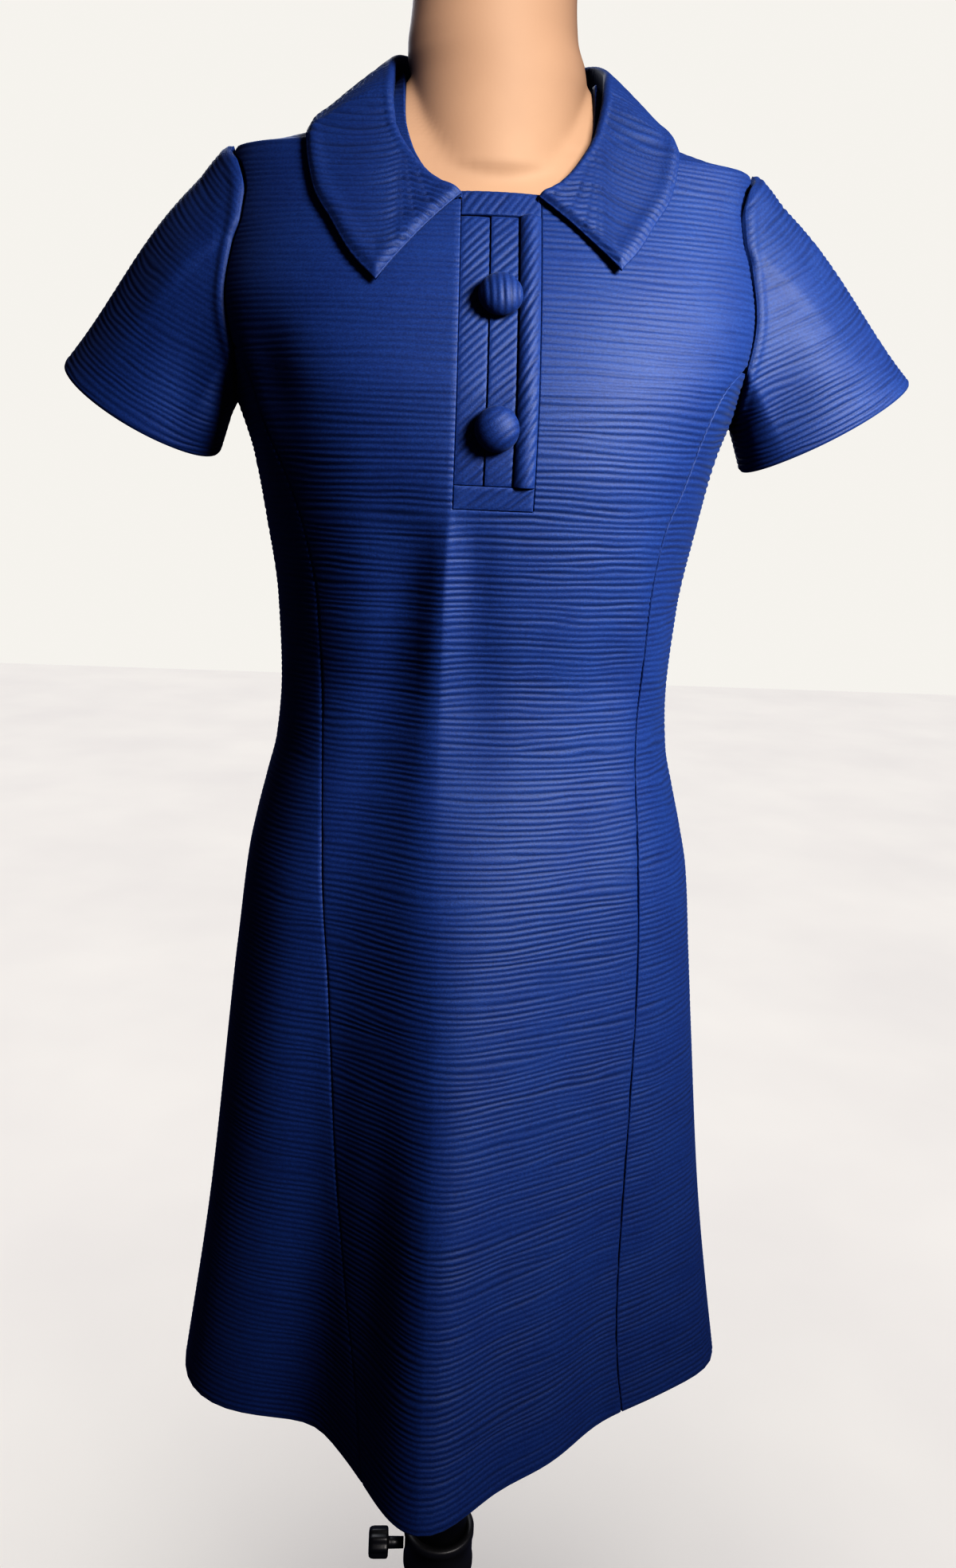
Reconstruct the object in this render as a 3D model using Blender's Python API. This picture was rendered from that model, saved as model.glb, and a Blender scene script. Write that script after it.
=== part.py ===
"""An a-line dress of ribbed double knit on a limbless dress form with its stand.

Metres, +Z up, the floor at z = 0 and the form's axis on x = 0, y = 0. The dress faces -Y, so the
wearer's left is +X. The body of the dress is one surface, worked out from the sections and folds
below. A place on it has a turn in degrees round the body (0 at the front centre, 90 at the wearer's
left side seam, 180 at the back centre, -90 at the right side seam) and a height. Every panel, the
sleeves' heads, the collar and the placket are made from its points, moved in or out along its normal.
"""

import math

import bpy
import numpy as np

# Heights of the dress above the floor
HEM = 0.502
SLOT_BOTTOM = 1.175
ARMPIT = 1.240
SEAM_TOP = 1.272  # where the front seams run into the armholes
SIDE_TOP = 1.268  # where the front side panels end in a short edge
FRONT_NECK = 1.366
SHOULDER_TIP = 1.397
BACK_NECK = 1.438
NECK_POINT = 1.446

# Cloth
CLOTH = 0.0022
SEAM_GAP = 0.0003
REST_GAP = 0.0003
# The ribs of the knit are 4.15 mm wide. Each rib raised in these walls stands for four of them.
RIB = 0.00415
RIB_GROUP = 4 * RIB
RIB_DEPTH = 0.0010

# The slot for the placket, from the middle to the wearer's right and left
SLOT_RIGHT = 0.0242
SLOT_LEFT = 0.0260

# Heights of the points along a seam's edge and over a wall's plain inside, up to the armpit, then as
# shares of the armhole, then up the shoulder
BODY_LEVELS = (
    HEM, 0.555, 0.610, 0.665, 0.720, 0.775, 0.830, 0.880, 0.920,
    0.955, 0.990, 1.030, 1.070, 1.110, 1.145, SLOT_BOTTOM, 1.2075, ARMPIT,
)
ARMHOLE_LEVELS = (0.03, 0.09, 0.36, 0.52, 0.68, 0.82, 0.94)
SHOULDER_LEVELS = (SHOULDER_TIP, 1.4000, 1.4040, 1.4090, 1.4180, 1.4300, BACK_NECK, NECK_POINT)

# The dress's level sections: half its width, how far it reaches to the front and to the back of the
# side seams, and the power of the rounded outline (2 is an ellipse, more is squarer).
SECTION_COLUMNS = ("height", "half_width", "front", "back", "power")
SECTIONS = (
    (HEM, 0.2045, 0.190, 0.172, 2.0),
    (0.6450, 0.1885, 0.162, 0.154, 2.0),
    (0.7850, 0.1775, 0.139, 0.137, 2.05),
    (0.8500, 0.1725, 0.129, 0.131, 2.05),
    (0.9150, 0.1665, 0.119, 0.124, 2.1),
    (0.9460, 0.1600, 0.113, 0.117, 2.1),
    (0.9770, 0.1520, 0.107, 0.107, 2.15),
    (1.0060, 0.1450, 0.102, 0.097, 2.2),
    (1.0500, 0.1415, 0.100, 0.089, 2.2),
    (1.1070, 0.1435, 0.109, 0.089, 2.3),
    (1.1620, 0.1515, 0.119, 0.094, 2.3),
    (1.2050, 0.1600, 0.124, 0.099, 2.3),
    (ARMPIT, 0.1730, 0.122, 0.103, 2.3),
    (1.2700, 0.1840, 0.113, 0.104, 2.3),
    (1.3000, 0.1865, 0.101, 0.101, 2.3),
    (1.3400, 0.1810, 0.080, 0.092, 2.25),
    (FRONT_NECK, 0.1770, 0.064, 0.082, 2.2),
    (SHOULDER_TIP, 0.1710, 0.046, 0.066, 2.1),
    (1.4000, 0.1535, 0.044, 0.0645, 2.1),
    (1.4040, 0.1370, 0.042, 0.0630, 2.1),
    (1.4090, 0.1200, 0.039, 0.0615, 2.1),
    (1.4180, 0.0990, 0.036, 0.0595, 2.0),
    (1.4300, 0.0800, 0.033, 0.0575, 2.0),
    (BACK_NECK, 0.0705, 0.031, 0.0565, 2.0),
    (NECK_POINT, 0.0640, 0.029, 0.0555, 2.0),
)

# The folds of the skirt: the turn at the hem and at the fold's top, the height where it starts, how far
# it stands out at the hem, its half width as a turn, and how late it grows.
FOLD_COLUMNS = ("turn_at_hem", "turn_at_top", "top", "out", "half_turn", "lateness")
FOLDS = (
    (-6, -3, 1.180, 0.0405, 11, 1.7),
    (-36, -33, 1.080, -0.0260, 14, 1.3),
    (38, 34, 1.060, -0.0225, 18, 1.3),
    (-66, -70, 1.020, 0.0215, 17, 1.3),
    (74, 74, 1.000, 0.0220, 12, 1.4),
    (116, 112, 1.020, -0.0160, 17, 1.4),
    (148, 150, 1.080, 0.0240, 16, 1.5),
    (182, 180, 1.040, -0.0180, 18, 1.4),
    (214, 211, 1.080, 0.0260, 15, 1.5),
    (244, 247, 1.010, -0.0150, 14, 1.4),
)

# The front seams, from the hem up into the armholes: how far from the middle each one runs.
SEAM_COLUMNS = ("height", "right", "left")
FRONT_SEAMS = (
    (HEM, 0.064, 0.145),
    (0.5650, 0.076, 0.135),
    (0.6200, 0.087, 0.131),
    (0.7200, 0.098, 0.128),
    (0.8400, 0.103, 0.126),
    (0.9300, 0.107, 0.120),
    (1.0300, 0.107, 0.112),
    (1.1100, 0.110, 0.112),
    (1.1550, 0.118, 0.116),
    (1.1950, 0.132, 0.129),
    (1.2350, 0.151, 0.142),
    (1.2560, 0.162, 0.153),
    (SEAM_TOP, 0.1715, 0.1715),
)

# The armhole's edge: how far up it, and its turn from the front centre (front edge) or from the
# back centre (back edge).
ARMHOLE_COLUMNS = ("share", "front_turn", "back_turn")
ARMHOLE = (
    (0.00, 90, 90),
    (0.03, 82, 82),
    (0.09, 75, 76),
    (0.20, 68, 71),
    (0.40, 67.5, 70),
    (0.60, 67, 69),
    (0.70, 64.5, 69),
    (0.80, 65, 70),
    (0.92, 71, 75),
    (1.00, 90, 90),
)

# The neckline: how far it is from the middle at each height.
NECK_COLUMNS = ("height", "front", "back")
NECKLINE = (
    (FRONT_NECK, 0.0255, 0.0300),
    (1.3720, 0.0385, 0.0300),
    (1.3800, 0.0470, 0.0300),
    (1.3950, 0.0555, 0.0300),
    (1.4180, 0.0610, 0.0300),
    (BACK_NECK, 0.0622, 0.0300),
    (1.4400, 0.0624, 0.0420),
    (1.4425, 0.0626, 0.0530),
    (1.4445, 0.0628, 0.0600),
    (NECK_POINT, 0.0630, 0.0630),
)

# The sleeves. Each ring is eased from the armhole to the cuff, which is a flattened ring: its middle,
# the half from there to its outer end, and the half from there to its back.
SLEEVE_COLUMNS = ("side", "cuff_middle", "outer_half", "back_half")
SLEEVES = (
    ("right", (-0.2395, 0.010, 1.2317), (-0.0539, 0.010, 0.0295), (0.005, 0.042, 0.0120)),
    ("left", (0.2448, 0.010, 1.2400), (0.0603, 0.010, 0.0346), (-0.002, 0.042, 0.0060)),
)
SLEEVE_LENGTH = 0.175
SLEEVE_PUFF = 0.014

# The collar seen from above, by stations from its front end round to the back centre: how far its
# upper edge and its outer edge are from the middle and from the shoulder line (front is minus), and
# the height of the upper edge, where the collar rolls over towards the neck.
COLLAR_COLUMNS = ("station", "neck_x", "neck_y", "outer_x", "outer_y", "top")
COLLAR = (
    (0.00, 0.0242, -0.0663, 0.0745, -0.0900, 1.3616),
    (0.12, 0.0410, -0.0599, 0.0875, -0.0805, 1.3715),
    (0.24, 0.0553, -0.0502, 0.1000, -0.0670, 1.3873),
    (0.36, 0.0661, -0.0379, 0.1130, -0.0505, 1.4073),
    (0.47, 0.0695, -0.0237, 0.1185, -0.0320, 1.4318),
    (0.58, 0.0693, -0.0062, 0.1150, -0.0080, 1.4479),
    (0.70, 0.0641, 0.0225, 0.1000, 0.0260, 1.4606),
    (0.85, 0.0396, 0.0476, 0.0590, 0.0600, 1.4649),
    (1.00, 0.0000, 0.0593, 0.0000, 0.0655, 1.4667),
)
COLLAR_SHIFT = 0.0035  # how far the collar's outer edge lies towards the wearer's right
COLLAR_TILT = 0.0030  # how much further forward its right point reaches than the middle, its left less
COLLAR_CROWN = 0.0020  # how far the collar bows up between its edges where it spans a hollow
COLLAR_EASE = 0.0012  # how softly it goes over from lying on the dress to spanning
COLLAR_LIFT = 0.0015  # between the collar and the dress it lies on
COLLAR_THICKNESS = 0.0032

# The placket in the front slot: the share of its width where each strip starts and ends, the height
# of its ends, how far it stands off the dress's surface, and how steeply its ribs climb to the left.
STRIP_COLUMNS = ("name", "start", "end", "bottom", "top", "out", "lean")
STRIPS = (
    ("placket_under", 0.00, 0.37, 1.1895, 1.3510, -0.0016, 0.8),
    ("placket_strip", 0.37, 0.73, 1.1895, 1.3510, 0.0000, 0.8),
    ("placket_edge", 0.73, 1.00, 1.1895, 1.3510, 0.0016, 1.0),
    ("placket_foot", 0.00, 1.00, SLOT_BOTTOM, 1.1895, 0.0004, 0.0),
    ("placket_band", 0.00, 1.00, 1.3510, FRONT_NECK, 0.0006, 0.0),
)
STRIP_GROOVE = 0.0008

BUTTON_HEIGHTS = (("button_upper", 1.300), ("button_lower", 1.2230))
BUTTON_RADIUS = 0.0137
BUTTON_DOME = 0.0095
BUTTON_RIM = 0.0020
SHANK_RADIUS = 0.0070
SHANK_HEIGHT = 0.0019  # enough to lift the dome clear of the placket's raised edge
BUTTON_X = 0.0008

# Form and stand
FORM_BOTTOM = 0.800
FORM_TOP = 1.535
NECK_START = 1.336
NECK_HALF_DEPTH = 0.0490
NECK_FORWARD = 0.0030  # how far the neck's middle lies in front of the form's axis
DEPTH_FLARE = 0.0040  # how much deeper the neck is at its foot, front and back
DEPTH_FLARE_TOP = 1.485
NECK_HALF_WIDTH = 0.0527
SIDE_FLARE = 0.0050  # how much wider the neck is at each side where the collar goes round it
SIDE_FLARE_TOP = 1.500
SIDE_FLARE_FOOT = 1.455
NECK_LEAN = 0.005  # how far the neck lies towards the wearer's right
NECK_LEAN_START = 1.440
NECK_LEAN_END = 1.470
POLE_RADIUS = 0.0250
POLE_SIDES = 24
FOOT_RADIUS = 0.170
FOOT_EDGE = 0.010
FOOT_HEIGHT = 0.024
CLAMP_HEIGHT = 0.245
CLAMP_TALL = 0.044
CLAMP_WALL = 0.0065
KNOB_REACH = 0.032
KNOB_RADIUS = 0.013

# How far the form lies inside the dress's outer surface, at the sides and in depth.
CLEARANCE_COLUMNS = ("height", "side", "depth")
CLEARANCES = (
    (FORM_BOTTOM, 0.022, 0.024),
    (0.900, 0.014, 0.016),
    (1.030, 0.010, 0.010),
    (1.205, 0.009, 0.009),
    (1.340, 0.008, 0.007),
    (SHOULDER_TIP, 0.004, 0.0040),
    (1.4050, 0.001, 0.0030),
    (1.4300, 0.003, 0.0050),
    (NECK_POINT, 0.006, 0.0070),
)
FORM_DROP = 0.0030

NAVY = (0.012, 0.030, 0.190)
SKIN_TONE = (0.80, 0.52, 0.36)
BLACK = (0.012, 0.012, 0.014)


def curve(table, columns, key, value):
    """A smooth function through two columns of a table, which never overshoots its rows."""
    x = np.array([row[columns.index(key)] for row in table], float)
    y = np.array([row[columns.index(value)] for row in table], float)
    step = np.diff(x)
    slope = np.diff(y) / step
    tangent = np.zeros(len(x))
    tangent[0] = slope[0]
    tangent[-1] = slope[-1]
    for i in range(1, len(x) - 1):
        if slope[i - 1] * slope[i] > 0:
            before = 2 * step[i] + step[i - 1]
            after = step[i] + 2 * step[i - 1]
            tangent[i] = (before + after) / (before / slope[i - 1] + after / slope[i])

    def value_at(at):
        at = min(max(at, x[0]), x[-1])
        i = min(int(np.searchsorted(x, at, side="right")) - 1, len(step) - 1)
        t = (at - x[i]) / step[i]
        return float(
            y[i] * (1 + 2 * t) * (1 - t) ** 2
            + step[i] * tangent[i] * t * (1 - t) ** 2
            + y[i + 1] * t * t * (3 - 2 * t)
            + step[i] * tangent[i + 1] * t * t * (t - 1)
        )

    return value_at


SECTION = {name: curve(SECTIONS, SECTION_COLUMNS, "height", name) for name in SECTION_COLUMNS[1:]}
SEAM = {name: curve(FRONT_SEAMS, SEAM_COLUMNS, "height", name) for name in SEAM_COLUMNS[1:]}
ARMHOLE_TURN = {name: curve(ARMHOLE, ARMHOLE_COLUMNS, "share", name) for name in ARMHOLE_COLUMNS[1:]}
NECK = {name: curve(NECKLINE, NECK_COLUMNS, "height", name) for name in NECK_COLUMNS[1:]}
COLLAR_AT = {name: curve(COLLAR, COLLAR_COLUMNS, "station", name) for name in COLLAR_COLUMNS[1:]}
CLEAR = {name: curve(CLEARANCES, CLEARANCE_COLUMNS, "height", name) for name in CLEARANCE_COLUMNS[1:]}


def signed_power(value, power):
    return math.copysign(abs(value) ** power, value)


def fold_at(turn, height):
    """How far the skirt's folds move the surface out at a place."""
    total = 0.0
    for turn_at_hem, turn_at_top, top, out, half_turn, lateness in FOLDS:
        share = (top - height) / (top - HEM)
        if share <= 0:
            continue
        middle = turn_at_top + (turn_at_hem - turn_at_top) * share
        away = (turn - middle + 180) % 360 - 180
        total += out * share**lateness * math.exp(-((away / half_turn) ** 2))
    return total


def body(turn, height):
    """The point of the dress's outer surface at a turn and height."""
    half_width = SECTION["half_width"](height)
    power = SECTION["power"](height)
    s = math.sin(math.radians(turn))
    c = math.cos(math.radians(turn))
    depth = SECTION["front" if c > 0 else "back"](height)
    point = np.array([half_width * signed_power(s, 2 / power), -depth * signed_power(c, 2 / power), height])
    facing = np.array([
        signed_power(s, 2 - 2 / power) / half_width,
        -signed_power(c, 2 - 2 / power) / depth,
        0.0,
    ])
    return point + facing / np.linalg.norm(facing) * fold_at(turn, height)


def directions(turn, height):
    """The unit vectors along the turn and out of the surface."""
    turn_step, height_step = 0.5, 0.0006
    high = min(height + height_step, NECK_POINT)
    low = max(height - height_step, HEM)
    along = body(turn + turn_step, height) - body(turn - turn_step, height)
    up = body(turn, high) - body(turn, low)
    normal = np.cross(along, up)
    return along / np.linalg.norm(along), normal / np.linalg.norm(normal)


def on_body(turn, height, out=0.0, along=0.0):
    """A place on the surface, moved out along the normal and along the turn, in metres."""
    tangent, normal = directions(turn, height)
    return body(turn, height) + normal * out + tangent * along


def turn_of_x(x, height):
    """The turn on the front at a distance x from the middle."""
    share = min(abs(x) / SECTION["half_width"](height), 1.0)
    turn = math.degrees(math.asin(share ** (SECTION["power"](height) / 2)))
    return math.copysign(turn, x)


def armhole_edge(height, which):
    """The armhole's turn from the front or back centre. Above the tip it is the shoulder seam."""
    share = (height - ARMPIT) / (SHOULDER_TIP - ARMPIT)
    if share <= 0 or share >= 1:
        return 90.0
    return ARMHOLE_TURN[which](share)


def front_seam(side, height):
    """The turn of the front centre panel's edge: its seam, then the armhole and the shoulder."""
    if height < SEAM_TOP:
        turn = turn_of_x(SEAM[side](height), height)
    else:
        turn = armhole_edge(height, "front_turn")
    return turn if side == "left" else -turn


def side_edge(side, height):
    """The turn of a front side panel's other edge: the side seam, then the armhole."""
    turn = armhole_edge(height, "front_turn")
    return turn if side == "left" else -turn


def back_edge(side, height):
    turn = 180 - armhole_edge(height, "back_turn")
    return turn if side == "left" else 360 - turn


def slot_edge(side, height):
    """The slot's edge, which goes on as the neckline above and as a line of points below."""
    x = SLOT_LEFT if side == "left" else SLOT_RIGHT
    if height > FRONT_NECK:
        x = max(x, NECK["front"](height))
    return turn_of_x(x if side == "left" else -x, height)


def back_neck_edge(side, height):
    turn = 180 - turn_of_x(NECK["back"](height), height)
    return turn if side == "left" else 360 - turn


def between(first, second, share):
    """A line of points that runs at a share of the way between two others."""
    return lambda height: first(height) * (1 - share) + second(height) * share


def line(function, side):
    return lambda height: function(side, height)


def levels(bottom, top, at_neck=False):
    """The heights of an edge's points between two heights, with both ends."""
    heights = set(BODY_LEVELS) | {bottom, top}
    if at_neck:
        heights |= {1.2750, 1.3100, 1.3400} | {row[0] for row in NECKLINE}
    else:
        heights |= {ARMPIT + share * (SHOULDER_TIP - ARMPIT) for share in ARMHOLE_LEVELS}
        heights |= {SIDE_TOP, SEAM_TOP} | set(SHOULDER_LEVELS)
    return sorted({round(z, 6) for z in heights if bottom - 1e-9 <= z <= top + 1e-9})


def rib_levels(bottom, top):
    """The heights of the crests and grooves of the ribs between two heights, with both ends."""
    half = RIB_GROUP / 2
    first, last = math.floor((bottom - HEM) / half), math.ceil((top - HEM) / half)
    inner = [HEM + step * half for step in range(first, last + 1)]
    return [bottom] + [height for height in inner if bottom + half / 4 < height < top - half / 4] + [top]


def rib_out(height):
    """The rib's offset at one of its levels: 0 on a crest, in by the depth in a groove."""
    step = (height - HEM) / (RIB_GROUP / 2)
    if abs(step - round(step)) > 1e-4:
        return -RIB_DEPTH / 2
    return -RIB_DEPTH if round(step) % 2 else 0.0


class Wall:
    """One closed cloth solid: points are kept by key, so that faces made apart share them."""

    def __init__(self):
        self.points = []
        self.faces = []
        self.numbers = {}

    def point(self, key, make):
        if key not in self.numbers:
            self.numbers[key] = len(self.points)
            self.points.append(tuple(make()))
        return self.numbers[key]

    def face(self, *corners):
        if len(set(corners)) == len(corners):
            self.faces.append(corners)


def zip_lines(left, right):
    """Triangles between two upright lines of (height, number), facing -Y where right is at +X."""
    faces = []
    i = j = 0
    while i < len(left) - 1 or j < len(right) - 1:
        next_left = left[i + 1][0] if i < len(left) - 1 else math.inf
        next_right = right[j + 1][0] if j < len(right) - 1 else math.inf
        if next_left <= next_right:
            faces.append((left[i][1], right[j][1], left[i + 1][1]))
            i += 1
        else:
            faces.append((left[i][1], right[j][1], right[j + 1][1]))
            j += 1
    return faces


def panel(name, lines, neck_lines, blocks, material):
    """A cloth panel. lines are functions from height to turn, from left to right as seen from outside,
    and those in neck_lines are edges along the neck or the slot. A block is (first line, last line,
    bottom, top, whether its bottom is an edge, the lines that start an open stretch of its top)."""
    wall = Wall()
    last_line = len(lines) - 1

    def vertex(index, height, inner, ribbed):
        def make():
            along = {0: SEAM_GAP / 2, last_line: -SEAM_GAP / 2}.get(index, 0.0)
            out = -CLOTH if inner else (rib_out(height) if ribbed else 0.0)
            return on_body(lines[index](height), height, out, along)

        return wall.point((index, round(height, 6), inner), make)

    for first, last, bottom, top, open_bottom, open_top in blocks:
        outer, inner = {}, {}
        for index in range(first, last + 1):
            at_edge = index in (first, last)
            plain = levels(bottom, top, at_edge and index in neck_lines)
            ribbed = plain if at_edge else rib_levels(bottom, top)
            outer[index] = [(z, vertex(index, z, False, not at_edge)) for z in ribbed]
            inner[index] = [(z, vertex(index, z, True, False)) for z in plain]
        for index in range(first, last):
            out_a, out_b, in_a, in_b = outer[index], outer[index + 1], inner[index], inner[index + 1]
            for corners in zip_lines(out_a, out_b):
                wall.face(*corners)
            for corners in zip_lines(in_a, in_b):
                wall.face(*reversed(corners))
            if open_bottom:
                wall.face(in_a[0][1], in_b[0][1], out_b[0][1], out_a[0][1])
            if index in open_top:
                wall.face(out_a[-1][1], out_b[-1][1], in_b[-1][1], in_a[-1][1])
        for index, turned in ((first, False), (last, True)):
            rim = list(zip(outer[index], inner[index]))
            for (low_out, low_in), (high_out, high_in) in zip(rim, rim[1:]):
                ring = (low_out[1], high_out[1], high_in[1], low_in[1])
                wall.face(*(reversed(ring) if turned else ring))
    return finish(name, wall.points, wall.faces, material)


def finish(name, points, faces, material, smooth=False):
    mesh = bpy.data.meshes.new(name)
    mesh.from_pydata([tuple(map(float, point)) for point in points], [], faces)
    mesh.materials.append(material)
    mesh.polygons.foreach_set("use_smooth", [smooth] * len(mesh.polygons))
    mesh.update()
    thing = bpy.data.objects.new(name, mesh)
    bpy.context.scene.collection.objects.link(thing)
    return thing


def slab(name, outer, inner, material):
    """A closed solid between two grids of points: rows from bottom to top, each from left to right as
    seen from outside. The inner grid may have fewer rows."""
    columns = len(outer[0])
    points = [p for row in outer for p in row] + [p for row in inner for p in row]
    back = len(outer) * columns
    faces = []

    def rim(grid, start, column):
        return [(i / (len(grid) - 1), start + i * columns + column) for i in range(len(grid))]

    for i in range(len(outer) - 1):
        for a in range(i * columns, (i + 1) * columns - 1):
            faces.append((a, a + 1, a + 1 + columns, a + columns))
    for i in range(len(inner) - 1):
        for a in range(back + i * columns, back + (i + 1) * columns - 1):
            faces.append((a, a + columns, a + 1 + columns, a + 1))
    top_outer, top_inner = (len(outer) - 1) * columns, back + (len(inner) - 1) * columns
    for j in range(columns - 1):
        faces.append((back + j, back + j + 1, j + 1, j))
        faces.append((top_outer + j, top_outer + j + 1, top_inner + j + 1, top_inner + j))
    faces += zip_lines(rim(inner, back, 0), rim(outer, 0, 0))
    faces += zip_lines(rim(outer, 0, columns - 1), rim(inner, back, columns - 1))
    return finish(name, points, faces, material)


def tube(name, outer, inner, material, flip):
    """A closed wall between two stacks of closed rings, whose first and last rings match."""
    around = len(outer[0])
    points = [p for ring in outer for p in ring] + [p for ring in inner for p in ring]
    back = len(outer) * around
    faces = []

    def quad(a, b, c, d):
        faces.append((a, d, c, b) if flip else (a, b, c, d))

    for j in range(around):
        k = (j + 1) % around
        for i in range(len(outer) - 1):
            quad(i * around + j, i * around + k, (i + 1) * around + k, (i + 1) * around + j)
        for i in range(len(inner) - 1):
            quad(
                back + i * around + k,
                back + i * around + j,
                back + (i + 1) * around + j,
                back + (i + 1) * around + k,
            )
        quad(back + j, back + k, k, j)
        last_outer, last_inner = (len(outer) - 1) * around, back + (len(inner) - 1) * around
        quad(last_outer + j, last_outer + k, last_inner + k, last_inner + j)
    return finish(name, points, faces, material)


def material(name, colour, roughness, metallic=0.0):
    made = bpy.data.materials.new(name)
    made.use_nodes = True
    shader = made.node_tree.nodes["Principled BSDF"]
    shader.inputs["Base Color"].default_value = (*colour, 1)
    shader.inputs["Roughness"].default_value = roughness
    shader.inputs["Metallic"].default_value = metallic
    made.diffuse_color = (*colour, 1)
    return made


def make_front_centre(cloth):
    right_seam, left_seam = line(front_seam, "right"), line(front_seam, "left")
    right_slot, left_slot = line(slot_edge, "right"), line(slot_edge, "left")
    lines = [right_seam]
    lines += [between(right_seam, right_slot, share) for share in (0.08, 0.36, 0.66, 0.92)]
    lines += [right_slot]
    lines += [between(right_slot, left_slot, share) for share in (0.25, 0.60)]
    lines += [left_slot]
    lines += [between(left_slot, left_seam, share) for share in (0.07, 0.34, 0.63, 0.93)]
    lines += [left_seam]
    last = len(lines) - 1
    panel("front_centre", lines, (5, 8), (
        (0, last, HEM, SLOT_BOTTOM, True, range(5, 8)),
        (0, 5, SLOT_BOTTOM, NECK_POINT, False, range(5)),
        (8, last, SLOT_BOTTOM, NECK_POINT, False, range(8, last)),
    ), cloth)


def make_front_sides(cloth):
    for side, shares in (("left", (0.08, 0.36, 0.64, 0.92)), ("right", (0.05, 0.22, 0.40, 0.58, 0.76, 0.94))):
        seam, edge = line(front_seam, side), line(side_edge, side)
        lines = [seam] + [between(seam, edge, share) for share in shares] + [edge]
        if side == "right":
            lines.reverse()
        last = len(lines) - 1
        panel(f"front_side_{side}", lines, (), ((0, last, HEM, SIDE_TOP, True, range(last)),), cloth)


def make_back(cloth):
    left_edge, right_edge = line(back_edge, "left"), line(back_edge, "right")
    left_neck, right_neck = line(back_neck_edge, "left"), line(back_neck_edge, "right")
    lines = [left_edge]
    lines += [between(left_edge, left_neck, share) for share in (0.05, 0.23, 0.42, 0.61, 0.80)]
    lines += [left_neck, between(left_neck, right_neck, 0.5), right_neck]
    lines += [between(right_neck, right_edge, share) for share in (0.20, 0.39, 0.58, 0.77, 0.95)]
    lines += [right_edge]
    last = len(lines) - 1
    panel("back", lines, (6, 8), (
        (0, last, HEM, BACK_NECK, True, range(6, 8)),
        (0, 6, BACK_NECK, NECK_POINT, False, range(6)),
        (8, last, BACK_NECK, NECK_POINT, False, range(8, last)),
    ), cloth)


def armhole_ring(side):
    """The armhole's points as (outer, inner) pairs, from the armpit up the front and down the back,
    a seam's gap away from the panels' edges."""
    heights = levels(ARMPIT, SHOULDER_TIP)
    sign = 1 if side == "left" else -1
    pairs = []
    for z in heights:
        turn = sign * armhole_edge(z, "front_turn")
        pairs.append([on_body(turn, z, out, sign * SEAM_GAP / 2) for out in (0.0, -CLOTH)])
    for z in heights[-2:0:-1]:
        turn = sign * (180 - armhole_edge(z, "back_turn"))
        pairs.append([on_body(turn, z, out, -sign * SEAM_GAP / 2) for out in (0.0, -CLOTH)])
    return pairs


def make_sleeves(cloth):
    for side, middle, outer_half, back_half in SLEEVES:
        sign = 1 if side == "left" else -1
        head = armhole_ring(side)
        count = len(head)
        middle, outer_half, back_half = (np.array(v, float) for v in (middle, outer_half, back_half))
        shares = lengths_round([pair[0] for pair in head])
        away = np.array([sign * 2 * SEAM_GAP, 0.0, 0.0])

        def ring_point(j, share):
            angle = 2 * math.pi * shares[j]
            cuff = middle - outer_half * math.cos(angle) - back_half * math.sin(angle)
            start = head[j][0] + away
            bulge = SLEEVE_PUFF * math.sin(math.pi * share) * (1 - share)
            level = start * (1 - share) + cuff * share
            outward = np.array([sign * 0.7, 0.0, 0.7]) * (0.5 - 0.5 * math.cos(angle))
            return level + outward * bulge

        def normal_at(j, share):
            step = 0.01
            before, after = ring_point((j - 1) % count, share), ring_point((j + 1) % count, share)
            down = ring_point(j, min(share + step, 1)) - ring_point(j, max(share - step, 0))
            normal = np.cross(after - before, down) * -sign
            return normal / np.linalg.norm(normal)

        ribs = round(SLEEVE_LENGTH / RIB_GROUP)
        outer_shares = [i / (2 * ribs) for i in range(2 * ribs + 1)]
        inner_shares = [i / 6 for i in range(7)]
        outer = []
        for i, share in enumerate(outer_shares):
            depth = RIB_DEPTH if i % 2 else 0.0
            outer.append([ring_point(j, share) - normal_at(j, share) * depth for j in range(count)])
        inner = [[pair[1] + away for pair in head]]
        for share in inner_shares[1:]:
            inner.append([ring_point(j, share) - normal_at(j, share) * CLOTH for j in range(count)])
        tube(f"sleeve_{side}", outer, inner, cloth, side == "left")


def lengths_round(ring):
    """The share of a closed ring's length at which each of its points lies."""
    steps = [np.linalg.norm(ring[(j + 1) % len(ring)] - ring[j]) for j in range(len(ring))]
    total = sum(steps)
    return [sum(steps[:j]) / total for j in range(len(ring))]


def on_shoulder(x, y):
    """The height of the dress's surface above a place on the floor plan, from the bust up."""
    low, high = SECTIONS[11][0], NECK_POINT
    for _ in range(30):
        height = (low + high) / 2
        depth = SECTION["front" if y < 0 else "back"](height)
        power = SECTION["power"](height)
        reach = (abs(x) / SECTION["half_width"](height)) ** power + (abs(y) / depth) ** power
        if reach < 1:
            low = height
        else:
            high = height
    return (low + high) / 2


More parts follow.
